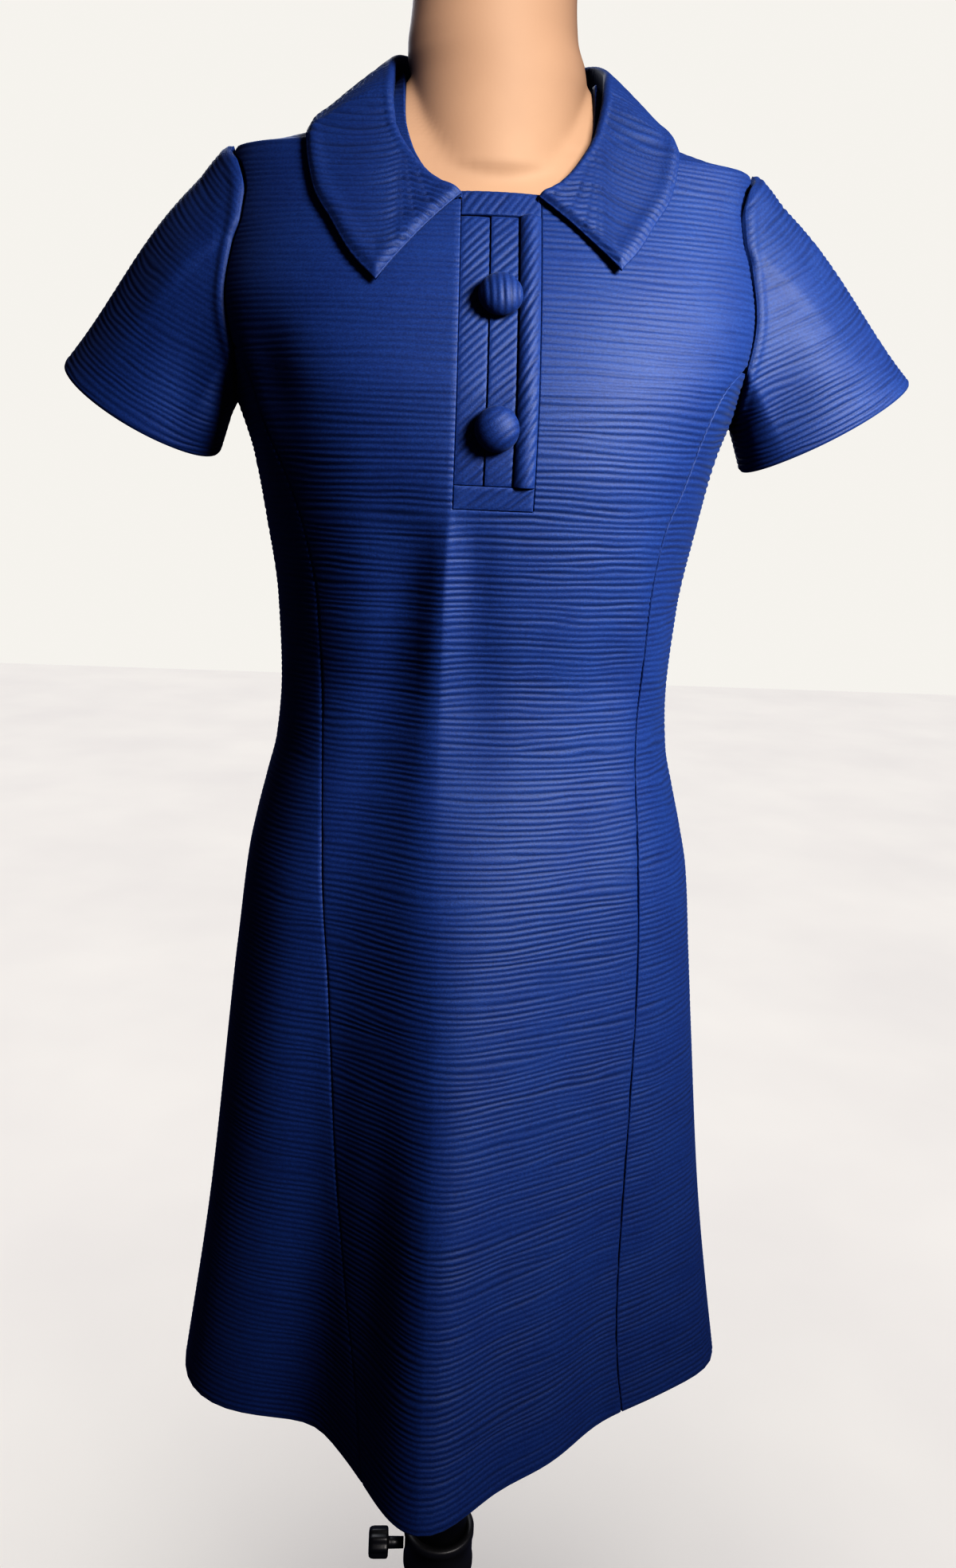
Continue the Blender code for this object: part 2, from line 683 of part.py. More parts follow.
def make_collar(cloth):
    """Both fronts and the back of the collar, as one piece that lies on the shoulders."""
    columns, outer_rows, inner_rows = 36, 9, 5
    step = 0.001

    def place(at, share, out):
        """at runs from -1, the left front end, round the back to 1. share is 1 at the neck."""
        station = 1 - abs(at)
        shift = COLLAR_SHIFT * (1 - (1 - station) ** 8)
        follows = 1 - min(1.0, max(0.0, (station - 0.35) / 0.25))
        edge_x = math.copysign(COLLAR_AT["outer_x"](station), -at) - shift
        edge_y = COLLAR_AT["outer_y"](station)
        edge_y -= math.copysign(COLLAR_TILT, at) * (1 - station) ** 3
        neck_x = math.copysign(COLLAR_AT["neck_x"](station), -at) - shift * follows
        x = edge_x + (neck_x - edge_x) * share
        y = edge_y + (COLLAR_AT["neck_y"](station) - edge_y) * share
        slope_x = (on_shoulder(x + step, y) - on_shoulder(x - step, y)) / (2 * step)
        slope_y = (on_shoulder(x, y + step) - on_shoulder(x, y - step)) / (2 * step)
        normal = np.array([-slope_x, -slope_y, 1.0])
        edge = on_shoulder(edge_x, edge_y)
        straight = edge + (COLLAR_AT["top"](station) - edge) * share
        straight += 4 * COLLAR_CROWN * share * (1 - share)
        over = math.exp((straight - on_shoulder(x, y)) / COLLAR_EASE)
        height = on_shoulder(x, y) + COLLAR_EASE * math.log(1 + over)
        return np.array([x, y, height]) + normal / np.linalg.norm(normal) * out

    def grid(rows, out, ribbed):
        made = []
        for row in range(rows):
            groove = RIB_DEPTH if ribbed and row % 2 else 0.0
            ats = [2 * k / columns - 1 for k in range(columns + 1)]
            made.append([place(at, row / (rows - 1), out - groove) for at in ats])
        return made

    outer = grid(outer_rows, COLLAR_LIFT + COLLAR_THICKNESS, True)
    slab("collar", outer, grid(inner_rows, COLLAR_LIFT, False), cloth)


def make_placket(cloth):
    width = SLOT_LEFT + SLOT_RIGHT - 2 * SEAM_GAP
    for name, start, end, bottom, top, out, climb in STRIPS:
        low = bottom + (SEAM_GAP / 2 if bottom > SLOT_BOTTOM else SEAM_GAP)
        high = top - SEAM_GAP / 2
        left = -SLOT_RIGHT + SEAM_GAP + width * start + (SEAM_GAP / 2 if start > 0 else 0)
        right = -SLOT_RIGHT + SEAM_GAP + width * end - (SEAM_GAP / 2 if end < 1 else 0)
        rows = max(2, 2 * round((high - low) / (RIB * math.sqrt(2))))
        columns = 3 if end - start < 0.5 else 5

        def grid(count, outward, ribbed):
            made = []
            for i in range(count + 1):
                share = i / count
                lean = climb * min(1.0, 4 * share, 4 * (1 - share))
                row = []
                for j in range(columns):
                    x = left + (right - left) * j / (columns - 1)
                    height = low + (high - low) * share + lean * (x - (left + right) / 2)
                    groove = STRIP_GROOVE if ribbed and i % 2 and 0 < j < columns - 1 else 0.0
                    row.append(on_body(turn_of_x(x, height), height, outward - groove))
                made.append(row)
            return made

        slab(name, grid(rows, out, True), grid(max(1, round(rows / 8)), out - CLOTH, False), cloth)


def lathe(profile, sides, place, turn_axes, name, made_of, smooth=True):
    """A turned solid: profile rows are (radius, along) from one end to the other, both closed."""
    across_one, across_two, axis = (np.array(v, float) for v in turn_axes)
    points, faces = [], []
    for radius, along in profile:
        for k in range(sides):
            angle = 2 * math.pi * k / sides
            spread = across_one * math.cos(angle) + across_two * math.sin(angle)
            points.append(np.array(place) + spread * radius + axis * along)
    for i in range(len(profile) - 1):
        for k in range(sides):
            n = (k + 1) % sides
            faces.append((i * sides + k, i * sides + n, (i + 1) * sides + n, (i + 1) * sides + k))
    faces.append(tuple(reversed(range(sides))))
    faces.append(tuple((len(profile) - 1) * sides + k for k in range(sides)))
    return finish(name, points, faces, made_of, smooth)


def make_buttons(cloth):
    """Cloth-covered domes, which sit on the middle strip of the placket."""
    for name, height in BUTTON_HEIGHTS:
        turn = turn_of_x(BUTTON_X, height)
        along, normal = directions(turn, height)
        seat = on_body(turn, height, REST_GAP)
        up = np.cross(normal, along)
        rim = SHANK_HEIGHT + BUTTON_RIM
        profile = [(SHANK_RADIUS, 0.0), (SHANK_RADIUS, SHANK_HEIGHT)]
        profile += [(BUTTON_RADIUS * 0.85, SHANK_HEIGHT + REST_GAP), (BUTTON_RADIUS, rim)]
        for step in range(1, 4):
            angle = step / 4 * math.pi / 2
            profile.append((BUTTON_RADIUS * math.cos(angle), rim + BUTTON_DOME * math.sin(angle)))
        lathe(profile, 16, seat, (along, up, normal), name, cloth)


def form_radius(angle, height):
    """How far the form reaches from its axis in a direction, its torso and neck run together."""
    s, c = abs(math.sin(angle)), math.cos(angle)
    if height + FORM_DROP < NECK_POINT:
        at = height + FORM_DROP
        half_width = SECTION["half_width"](at) - CLEAR["side"](height)
        depth = SECTION["front" if c > 0 else "back"](at) - CLEAR["depth"](height)
        power = SECTION["power"](at)
        torso = ((s / half_width) ** power + (abs(c) / depth) ** power) ** (-1 / power)
    else:
        torso = 0.0
    if height < NECK_START:
        return torso
    deeper = max(0.0, (DEPTH_FLARE_TOP - height) / (DEPTH_FLARE_TOP - FRONT_NECK))
    wider = min(1.0, max(0.0, (SIDE_FLARE_TOP - height) / (SIDE_FLARE_TOP - SIDE_FLARE_FOOT)))
    half_width = NECK_HALF_WIDTH + SIDE_FLARE * wider**2
    depth = NECK_HALF_DEPTH + DEPTH_FLARE * deeper**2
    depth += NECK_FORWARD if c > 0 else -NECK_FORWARD
    neck = ((s / half_width) ** 2 + (abs(c) / depth) ** 2) ** -0.5
    neck *= min(1.0, 0.6 + 0.4 * (height - NECK_START) / 0.05)
    return (torso**30 + neck**30) ** (1 / 30)


def neck_lean(height):
    """How far the neck has moved towards the wearer's right by a height."""
    share = (height - NECK_LEAN_START) / (NECK_LEAN_END - NECK_LEAN_START)
    share = min(1.0, max(0.0, share))
    return NECK_LEAN * share * share * (3 - 2 * share)


def make_form(covering):
    sides = 28
    heights = [FORM_BOTTOM, FORM_BOTTOM + 0.004, FORM_BOTTOM + 0.014]
    heights += [0.86, 0.92, 0.975, 1.03, 1.085, 1.14, 1.19, 1.24, 1.29, 1.33, 1.36, 1.378, 1.389]
    heights += [1.395, 1.400, 1.406, 1.414, 1.424, 1.434, 1.443, 1.455, 1.470, 1.50]
    heights += [FORM_TOP - 0.006, FORM_TOP]
    insets = {FORM_BOTTOM: 0.014, FORM_BOTTOM + 0.004: 0.005, FORM_TOP: 0.006}
    points, faces = [], []
    for height in heights:
        at = min(height + FORM_DROP, NECK_POINT)
        flat = SECTION["front"](at) / SECTION["half_width"](at)
        for k in range(sides):
            angle = 2 * math.pi * k / sides
            direction = math.atan2(math.sin(angle), math.cos(angle) * max(flat, 0.3))
            radius = form_radius(direction, height) - insets.get(height, 0.0)
            x, y = radius * math.sin(direction), -radius * math.cos(direction)
            points.append((x - neck_lean(height), y, height))
    for i in range(len(heights) - 1):
        for k in range(sides):
            n = (k + 1) % sides
            faces.append((i * sides + k, i * sides + n, (i + 1) * sides + n, (i + 1) * sides + k))
    faces.append(tuple(reversed(range(sides))))
    faces.append(tuple((len(heights) - 1) * sides + k for k in range(sides)))
    finish("form", points, faces, covering, True)


def make_stand(metal, plastic):
    axes = ((1, 0, 0), (0, 1, 0), (0, 0, 1))
    foot = [(FOOT_RADIUS, 0.0), (FOOT_RADIUS, FOOT_EDGE), (0.10, 0.019), (0.045, FOOT_HEIGHT)]
    lathe(foot, 40, (0, 0, 0), axes, "foot", metal)
    pole = [(POLE_RADIUS, FOOT_HEIGHT + REST_GAP), (POLE_RADIUS, FORM_BOTTOM - REST_GAP)]
    lathe(pole, POLE_SIDES, (0, 0, 0), axes, "pole", metal)
    make_clamp(plastic)
    reach = POLE_RADIUS + REST_GAP + CLAMP_WALL
    knob = [
        (0.005, REST_GAP),
        (0.005, KNOB_REACH * 0.45),
        (KNOB_RADIUS, KNOB_REACH * 0.50),
        (KNOB_RADIUS, KNOB_REACH * 0.90),
        (KNOB_RADIUS * 0.75, KNOB_REACH),
    ]
    lathe(knob, 16, (-reach, 0, CLAMP_HEIGHT), ((0, 1, 0), (0, 0, -1), (-1, 0, 0)), "knob", plastic)


def make_clamp(plastic):
    """The ring that is screwed tight round the pole."""
    outer, inner = [], []
    for height in (CLAMP_HEIGHT - CLAMP_TALL / 2, CLAMP_HEIGHT + CLAMP_TALL / 2):
        for radius, rings in ((POLE_RADIUS + REST_GAP + CLAMP_WALL, outer), (POLE_RADIUS + REST_GAP, inner)):
            ring = []
            for k in range(POLE_SIDES):
                angle = 2 * math.pi * k / POLE_SIDES
                ring.append(np.array([radius * math.cos(angle), radius * math.sin(angle), height]))
            rings.append(ring)
    tube("clamp", outer, inner, plastic, False)


def main():
    for thing in list(bpy.data.objects):
        bpy.data.objects.remove(thing, do_unlink=True)
    cloth = material("ribbed_double_knit", NAVY, 0.85)
    covering = material("form_covering", SKIN_TONE, 0.45)
    metal = material("black_metal", BLACK, 0.35, 0.6)
    plastic = material("black_plastic", BLACK, 0.5)
    make_front_centre(cloth)
    make_front_sides(cloth)
    make_back(cloth)
    make_sleeves(cloth)
    make_collar(cloth)
    make_placket(cloth)
    make_buttons(cloth)
    make_form(covering)
    make_stand(metal, plastic)


main()
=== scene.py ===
"""Looks for an a-line dress of ribbed navy double knit on a limbless dress form with its stand.

Metres, +Z up, the floor at z = 0. The dress faces -Y, so the wearer's left is +X. The cloth is worked
out from the same sections and folds as the solids: a place on the dress has a turn in degrees round
the body (0 at the front centre, 90 at the wearer's left side seam, 180 at the back) and a height.
"""

import math

import bpy
import numpy as np
from mathutils import Matrix, Vector


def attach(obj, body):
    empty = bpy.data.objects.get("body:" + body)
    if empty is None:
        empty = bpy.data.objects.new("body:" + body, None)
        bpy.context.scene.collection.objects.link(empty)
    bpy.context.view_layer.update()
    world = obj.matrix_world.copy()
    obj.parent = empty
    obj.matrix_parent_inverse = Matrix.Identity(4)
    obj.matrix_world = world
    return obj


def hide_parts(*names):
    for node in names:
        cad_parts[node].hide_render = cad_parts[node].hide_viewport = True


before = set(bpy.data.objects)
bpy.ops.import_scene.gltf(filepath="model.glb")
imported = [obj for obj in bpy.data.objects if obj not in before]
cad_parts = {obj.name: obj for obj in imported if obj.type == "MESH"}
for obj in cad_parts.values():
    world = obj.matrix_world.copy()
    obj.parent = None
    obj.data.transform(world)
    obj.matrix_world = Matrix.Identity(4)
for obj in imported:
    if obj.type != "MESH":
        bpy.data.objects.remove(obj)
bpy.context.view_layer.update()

# Heights of the dress above the floor
HEM = 0.502
SLOT_BOTTOM = 1.175
BUST = 1.205
ARMPIT = 1.240
SEAM_TOP = 1.272
FRONT_NECK = 1.366
SHOULDER_TIP = 1.397
BACK_NECK = 1.438
NECK_POINT = 1.446

# Cloth
CLOTH = 0.0022
UNDERSIDE = 0.0008  # how much further in the inner face lies, so that it clears the grooves
SEAM_GAP = 0.0003  # between any two pieces
RIB = 0.00415  # the pitch of the ribs
RIB_DEPTH = 0.0008
ROW_STEP = RIB / 5
# How the ribs wander: over which lengths along and across them, and by what share of their pitch
DRIFTS = ((0.060, 0.014, 0.95), (0.021, 0.006, 0.38))
# A groove's depth as a share: everywhere, where it comes and goes along its run, and from patch to patch
GROOVE_BASE, GROOVE_RUN, GROOVE_PATCH = 0.20, 0.75, 0.35
GROOVE_LEAST, GROOVE_MOST = 0.15, 1.15
SLOT_RIGHT = 0.0242
SLOT_LEFT = 0.0260
PANEL_TOP = 1.268  # of the front's side panels
RIB_REACH = 0.15  # the radius that makes a turn into a length along the ribs
HEM_TURN = 0.036
CUFF_TURN = 0.030
HEM_FOLD = 0.0014  # how much thicker the cloth is where it is turned up
FOLD_EDGE = 0.002  # over which length it thickens
PANEL_STEP, COLLAR_STEP, STRIP_STEP = 12, 5, 8  # outer rows for each row of the inner face
# A panel dips towards its seams: how far its edge columns lie from the seam, and how deep they dip.
EDGE_OFFSETS = np.array((0.0, 0.0007, 0.0016, 0.0032))
EDGE_DIPS = np.array((0.0014, 0.0008, 0.0002, 0.0))
LEAST_STRETCH = 0.0085
PUCKER_LEAST, PUCKER_MORE, PUCKER_LENGTH = 0.6, 0.9, 0.011  # how unevenly it dips along a seam
SEAM_CALM = 0.75  # how much flatter the ribs are at a seam
# They are flatter up on the yoke and towards the wearer's right: how much, from where, over how much.
YOKE_FLAT, YOKE_FLAT_FROM, YOKE_FLAT_OVER = 0.35, 1.22, 0.08
SIDE_FLAT, SIDE_FLAT_FROM, SIDE_FLAT_OVER = 0.35, 28, 25
HEM_ROUND = 0.0010  # how far the outer face turns in at the hem, and over which height
HEM_ROUND_TALL = 0.004

# Level sections of the dress
SECTION_COLUMNS = ("height", "half_width", "front", "back", "power")
SECTIONS = (
    (HEM, 0.2045, 0.19, 0.172, 2),
    (0.645, 0.1885, 0.162, 0.154, 2),
    (0.785, 0.1775, 0.139, 0.137, 2.05),
    (0.85, 0.1725, 0.129, 0.131, 2.05),
    (0.915, 0.1665, 0.119, 0.124, 2.1),
    (0.946, 0.16, 0.113, 0.117, 2.1),
    (0.977, 0.152, 0.107, 0.107, 2.15),
    (1.006, 0.145, 0.102, 0.097, 2.2),
    (1.05, 0.1415, 0.1, 0.089, 2.2),
    (1.107, 0.1435, 0.109, 0.089, 2.3),
    (1.162, 0.1515, 0.119, 0.094, 2.3),
    (BUST, 0.16, 0.124, 0.099, 2.3),
    (ARMPIT, 0.173, 0.122, 0.103, 2.3),
    (1.27, 0.184, 0.113, 0.104, 2.3),
    (1.3, 0.1865, 0.101, 0.101, 2.3),
    (1.34, 0.181, 0.08, 0.092, 2.25),
    (FRONT_NECK, 0.177, 0.064, 0.082, 2.2),
    (SHOULDER_TIP, 0.171, 0.046, 0.066, 2.1),
    (1.4, 0.1535, 0.044, 0.0645, 2.1),
    (1.404, 0.137, 0.042, 0.063, 2.1),
    (1.409, 0.12, 0.039, 0.0615, 2.1),
    (1.418, 0.099, 0.036, 0.0595, 2),
    (1.43, 0.08, 0.033, 0.0575, 2),
    (BACK_NECK, 0.0705, 0.031, 0.0565, 2),
    (NECK_POINT, 0.064, 0.029, 0.0555, 2),
)

# The large folds of the skirt: turn at the hem and at the top, height of the top, how far out, half
# turn, and how late they grow
FOLDS = (
    (-6, -3, 1.18, 0.0405, 11, 1.7),
    (-36, -33, 1.08, -0.026, 14, 1.3),
    (38, 34, 1.06, -0.0225, 18, 1.3),
    (-66, -70, 1.02, 0.0215, 17, 1.3),
    (74, 74, 1, 0.022, 12, 1.4),
    (116, 112, 1.02, -0.016, 17, 1.4),
    (148, 150, 1.08, 0.024, 16, 1.5),
    (182, 180, 1.04, -0.018, 18, 1.4),
    (214, 211, 1.08, 0.026, 15, 1.5),
    (244, 247, 1.01, -0.015, 14, 1.4),
)

# Soft creases: turn, height, how far they stand out, their half sizes as a turn and in
# metres, and how many degrees they lean for each metre up
CREASES = (
    (-9, 1.12, 0.0022, 4, 0.075, 12),
    (-22, 1.13, -0.0026, 7, 0.08, 20),
    (-30, 1.01, -0.002, 9, 0.09, 10),
    (-72, 1.255, -0.006, 11, 0.03, 60),
    (-60, 1.215, 0.0022, 7, 0.03, 90),
    (-51, 1.258, -0.0062, 10, 0.03, 30),
    (72, 1.25, -0.0045, 10, 0.028, -60),
    (57, 1.15, -0.0016, 9, 0.03, -120),
    (43, 1.12, 0.0014, 6, 0.04, -90),
    (34, 1.08, -0.0015, 8, 0.04, -60),
    (60, 1.06, 0.0018, 9, 0.022, -160),
    (66, 1.02, -0.0016, 9, 0.02, -160),
    (30, 0.95, -0.002, 9, 0.12, 20),
    (8, 0.86, 0.0018, 8, 0.11, -10),
    (22, 0.76, -0.0024, 8, 0.12, 15),
    (-18, 0.64, -0.0032, 6, 0.11, 10),
    (52, 0.7, 0.0024, 9, 0.1, 0),
    (-50, 0.78, 0.0022, 9, 0.14, 0),
    (-84, 0.9, -0.0018, 8, 0.06, 0),
    (-68, 1.06, 0.0016, 8, 0.022, 150),
    (120, 1.15, -0.002, 10, 0.032, 110),
    (128, 1.085, 0.0022, 10, 0.024, 120),
    (135, 1.035, -0.0022, 12, 0.022, 90),
    (160, 1.05, 0.002, 14, 0.02, 30),
    (200, 1.06, -0.002, 15, 0.022, -30),
    (224, 1.09, 0.002, 11, 0.026, -110),
    (236, 1.04, -0.002, 11, 0.022, -100),
    (180, 1.18, -0.0022, 12, 0.11, 0),
    (112, 1.262, -0.0045, 9, 0.034, 60),
    (249, 1.262, -0.005, 9, 0.034, -60),
    (165, 0.82, 0.003, 10, 0.14, 0),
    (197, 0.78, 0.0026, 9, 0.15, 0),
    (130, 0.7, -0.003, 9, 0.13, 0),
    (230, 0.69, -0.003, 10, 0.12, 0),
    (262, 0.8, 0.0022, 9, 0.12, 0),
    (96, 0.76, -0.0022, 8, 0.12, 0),
)

# Folds that hang from the placket's lower corner: x and height of their top, x and height of their
# bottom, how far they stand out, and their half widths at both ends
PLEATS = (
    (-0.0256, 1.179, -0.052, 0.62, 0.003, 0.0042, 0.032),
    (-0.045, 1.168, -0.108, 0.68, -0.0036, 0.012, 0.04),
    (-0.011, 1.17, 0.006, 0.88, -0.0034, 0.009, 0.024),
)
PLEAT_START = 0.020
# The front's edge stands up a little beside the placket: how far, where, and its half width.
SLOT_RIDGE, SLOT_RIDGE_AWAY, SLOT_RIDGE_HALF = 0.0007, 0.0032, 0.0024

SEAM_COLUMNS = ("height", "right", "left")
FRONT_SEAMS = (
    (HEM, 0.064, 0.145),
    (0.565, 0.076, 0.135),
    (0.62, 0.087, 0.131),
    (0.72, 0.098, 0.128),
    (0.84, 0.103, 0.126),
    (0.93, 0.107, 0.12),
    (1.03, 0.107, 0.112),
    (1.11, 0.11, 0.112),
    (1.155, 0.118, 0.116),
    (1.195, 0.132, 0.129),
    (1.235, 0.151, 0.142),
    (1.256, 0.162, 0.153),
    (SEAM_TOP, 0.1715, 0.1715),
)

ARMHOLE_COLUMNS = ("share", "front_turn", "back_turn")
ARMHOLE = (
    (0, 90, 90),
    (0.03, 82, 82),
    (0.09, 75, 76),
    (0.2, 68, 71),
    (0.4, 67.5, 70),
    (0.6, 67, 69),
    (0.7, 64.5, 69),
    (0.8, 65, 70),
    (0.92, 71, 75),
    (1, 90, 90),
)

NECK_COLUMNS = ("height", "front", "back")
NECKLINE = (
    (FRONT_NECK, 0.0255, 0.03),
    (1.372, 0.0385, 0.03),
    (1.38, 0.047, 0.03),
    (1.395, 0.0555, 0.03),
    (1.418, 0.061, 0.03),
    (BACK_NECK, 0.0622, 0.03),
    (1.44, 0.0624, 0.042),
    (1.4425, 0.0626, 0.053),
    (1.4445, 0.0628, 0.06),
    (NECK_POINT, 0.063, 0.063),
)

# The middle of each cuff, and its half sizes outwards and backwards
SLEEVES = {
    "right": ((-0.2395, 0.010, 1.2317), (-0.0539, 0.010, 0.0295), (0.005, 0.042, 0.0120)),
    "left": ((0.2448, 0.010, 1.2400), (0.0603, 0.010, 0.0346), (-0.002, 0.042, 0.0060)),
}
SLEEVE_LENGTH = 0.175
SLEEVE_PUFF = 0.014
HEAD_PUFF = 0.0036
HEAD_ROLL, HEAD_SINK, CUFF_ROUND = 0.0011, 0.0007, 0.0010
SLEEVE_RIBS = {"right": 0.5, "left": 1.0}  # how deep they are, as a share of the body's
# The seam allowance under the body's panels: how wide, and how deep its outer and inner face lie
ALLOWANCE, TUCK_OUTER, TUCK_INNER = 0.006, 0.0030, 0.0042
ROUND_SLEEVE = 300  # columns
# Soft creases on the sleeves: side, share round (0 at the armpit, then up the front), share down to
# the cuff, how far out, and the two half sizes as shares
SLEEVE_CREASES = (
    ("right", 0.2, 0.5, -0.0026, 0.07, 0.3),
    ("right", 0.1, 0.6, 0.003, 0.05, 0.3),
    ("right", 0.36, 0.3, 0.002, 0.06, 0.25),
    ("right", 0.75, 0.5, -0.0035, 0.07, 0.3),
    ("left", 0.17, 0.55, -0.0026, 0.065, 0.3),
    ("left", 0.3, 0.55, 0.0026, 0.06, 0.3),
    ("left", 0.44, 0.35, -0.0016, 0.05, 0.25),
    ("left", 0.72, 0.45, -0.0035, 0.07, 0.3),
)

COLLAR_COLUMNS = ("station", "neck_x", "neck_y", "outer_x", "outer_y", "top")
COLLAR = (
    (0, 0.0242, -0.0663, 0.0745, -0.09, 1.3616),
    (0.12, 0.041, -0.0599, 0.0875, -0.0805, 1.3715),
    (0.24, 0.0553, -0.0502, 0.1, -0.067, 1.3873),
    (0.36, 0.0661, -0.0379, 0.113, -0.0505, 1.4073),
    (0.47, 0.0695, -0.0237, 0.1185, -0.032, 1.4318),
    (0.58, 0.0693, -0.0062, 0.115, -0.008, 1.4479),
    (0.7, 0.0641, 0.0225, 0.1, 0.026, 1.4606),
    (0.85, 0.0396, 0.0476, 0.059, 0.06, 1.4649),
    (1, 0, 0.0593, 0, 0.0655, 1.4667),
)
COLLAR_SHIFT = 0.0035  # of its fall, to the wearer's right
COLLAR_TILT = 0.0030  # its right point lies this much further forward, its left one further back
COLLAR_CROWN = 0.0020  # of its span from the neck to the shoulder
COLLAR_EASE = 0.0012  # how softly it goes from lying to spanning
COLLAR_LIFT = 0.0015  # off the dress
COLLAR_THICKNESS = 0.0032
COLLAR_WIDE, COLLAR_LONG = 0.06, 0.16  # about: across, and from an end to the middle of the back
COLLAR_SLANT_LEFT, COLLAR_SLANT_RIGHT = 14, 27  # of its ribs, in degrees
COLLAR_FLARE_LEFT, COLLAR_FLARE_RIGHT = 0.0022, 0.0006
COLLAR_RIM, COLLAR_PUFF, COLLAR_GROOVE = 0.0018, 0.0009, 0.0013
ROLL_FRONT = 0.0017  # the roll's radius at the front ends and round the back
ROLL_BACK = 0.0030
ROLL_STEPS = 9
STAND_STEPS = 5
LEAST_CLIMB, MOST_CLIMB = -0.2, 1.3  # the slope of the cloth where it meets the roll
SMOOTHING = 15  # columns
NECK_MIDDLE = np.array([0.0, -0.004, 0.0])

# The placket: node, share of its width where each strip starts and ends, the heights of its ends, how
# far it stands off, how much its middle is crowned, and the slant of its ribs in degrees
STRIPS = (
    ("placket_under", 0, 0.37, 1.1895, 1.351, -0.001, 0.0004, 43),
    ("placket_strip", 0.37, 0.73, 1.1895, 1.351, 0, 0.0002, 41),
    ("placket_edge", 0.73, 1, 1.1895, 1.351, 0.0012, 0.0028, 56),
    ("placket_foot", 0, 1, SLOT_BOTTOM, 1.1895, 0.0004, 0.0003, 38),
    ("placket_band", 0, 1, 1.351, FRONT_NECK, 0.0006, 0.0008, 52),
)
STRIP_RIM = 0.0005
STRIP_EDGES = np.array((0, 0.0006, 0.0015))

# Buttons: node, height, the way its ribs run in degrees, and how deep they are
BUTTONS = (
    ("button_upper", 1.3, 94, 0.0004),
    ("button_lower", 1.223, 38, 0.00022),
)
BUTTON_RADIUS = 0.0137
BUTTON_DOME = 0.0095
BUTTON_RIM = 0.0020
SHANK_HEIGHT = 0.0019
BUTTON_X = 0.0008
DOME_ROWS, ROUND_BUTTON = 30, 64

# Form and stand
FORM_BOTTOM = 0.800
FORM_TOP = 1.535
NECK_START = 1.336
NECK_HALF_DEPTH = 0.0490
NECK_FORWARD = 0.0030
DEPTH_FLARE = 0.0040
DEPTH_FLARE_TOP = 1.485
NECK_HALF_WIDTH = 0.0527
SIDE_FLARE = 0.0050
SIDE_FLARE_TOP = 1.500
SIDE_FLARE_FOOT = 1.455
NECK_LEAN = 0.005
NECK_LEAN_START = 1.440
NECK_LEAN_END = 1.470
FORM_DROP = 0.0030  # how much lower than the dress its shoulders lie
# Its rounded edges: rows up from its bottom and down from its top, and how far in each one lies
FORM_BOTTOM_EDGE = (
    (0, 0.016), (0.0006, 0.012), (0.002, 0.008), (0.005, 0.0045), (0.010, 0.0015), (0.016, 0.0003),
)
FORM_TOP_EDGE = ((0.006, 0), (0.004, 0.0003), (0.002, 0.0012), (0.0008, 0.0030), (0, 0.0060))
ROUND_FORM = 128
NECK_MEETS = 30  # how sharply the neck and the torso meet
CLEARANCE_COLUMNS = ("height", "side", "depth")
CLEARANCES = (
    (FORM_BOTTOM, 0.022, 0.024),
    (0.9, 0.014, 0.016),
    (1.03, 0.01, 0.01),
    (BUST, 0.009, 0.009),
    (1.34, 0.008, 0.007),
    (SHOULDER_TIP, 0.004, 0.004),
    (1.405, 0.001, 0.003),
    (1.43, 0.003, 0.005),
    (NECK_POINT, 0.006, 0.007),
)
POLE_RADIUS = 0.0250
FOOT_RADIUS = 0.170
FOOT_HEIGHT = 0.024
CLAMP_HEIGHT = 0.245
CLAMP_TALL = 0.044
CLAMP_WALL = 0.0065
KNOB_REACH = 0.032
KNOB_RADIUS = 0.013
# The grip's outline, as shares of the knob's radius and reach
KNOB_GRIP = ((0.86, 0.45), (0.97, 0.475), (1, 0.52), (1, 0.86), (0.97, 0.93), (0.88, 0.985), (0.70, 1))
UPRIGHT = ((1, 0, 0), (0, 1, 0), (0, 0, 1))
TO_WEARERS_RIGHT = ((0, 1, 0), (0, 0, -1), (-1, 0, 0))
FLOOR_HALF = 6.0

# Camera: the photograph's, a phone held upright a little above the dress's middle
CAMERA_BACK = 0.865
CAMERA_SIDE = 0.006
CAMERA_HEIGHT = 1.20
CAMERA_PITCH = 15.0
CAMERA_YAW = 3.3
CAMERA_ROLL = 2.5
CAMERA_LENS = 18.003
CAMERA_SENSOR = 24.0

HALVINGS = 26  # of a stretch, to find a height
LATTICE_SIZE = 257
LATTICE = np.random.default_rng(7).random((6, LATTICE_SIZE, LATTICE_SIZE))


# ---------------------------------------------------------------- shapes

def curve(table, columns, key, value):
    """A smooth function through two columns of a table, which never overshoots its rows."""
    x = np.array([row[columns.index(key)] for row in table], float)
    y = np.array([row[columns.index(value)] for row in table], float)
    step = np.diff(x)
    slope = np.diff(y) / step
    tangent = np.zeros(len(x))
    tangent[0] = slope[0]
    tangent[-1] = slope[-1]
    for i in range(1, len(x) - 1):
        if slope[i - 1] * slope[i] > 0:
            before = 2 * step[i] + step[i - 1]
            after = step[i] + 2 * step[i - 1]
            tangent[i] = (before + after) / (before / slope[i - 1] + after / slope[i])

    def value_at(at):
        at = np.clip(np.asarray(at, float), x[0], x[-1])
        i = np.clip(np.searchsorted(x, at, side="right") - 1, 0, len(step) - 1)
        t = (at - x[i]) / step[i]
        return (
            y[i] * (1 + 2 * t) * (1 - t) ** 2
            + step[i] * tangent[i] * t * (1 - t) ** 2
            + y[i + 1] * t * t * (3 - 2 * t)
            + step[i] * tangent[i + 1] * t * t * (t - 1)
        )

    return value_at


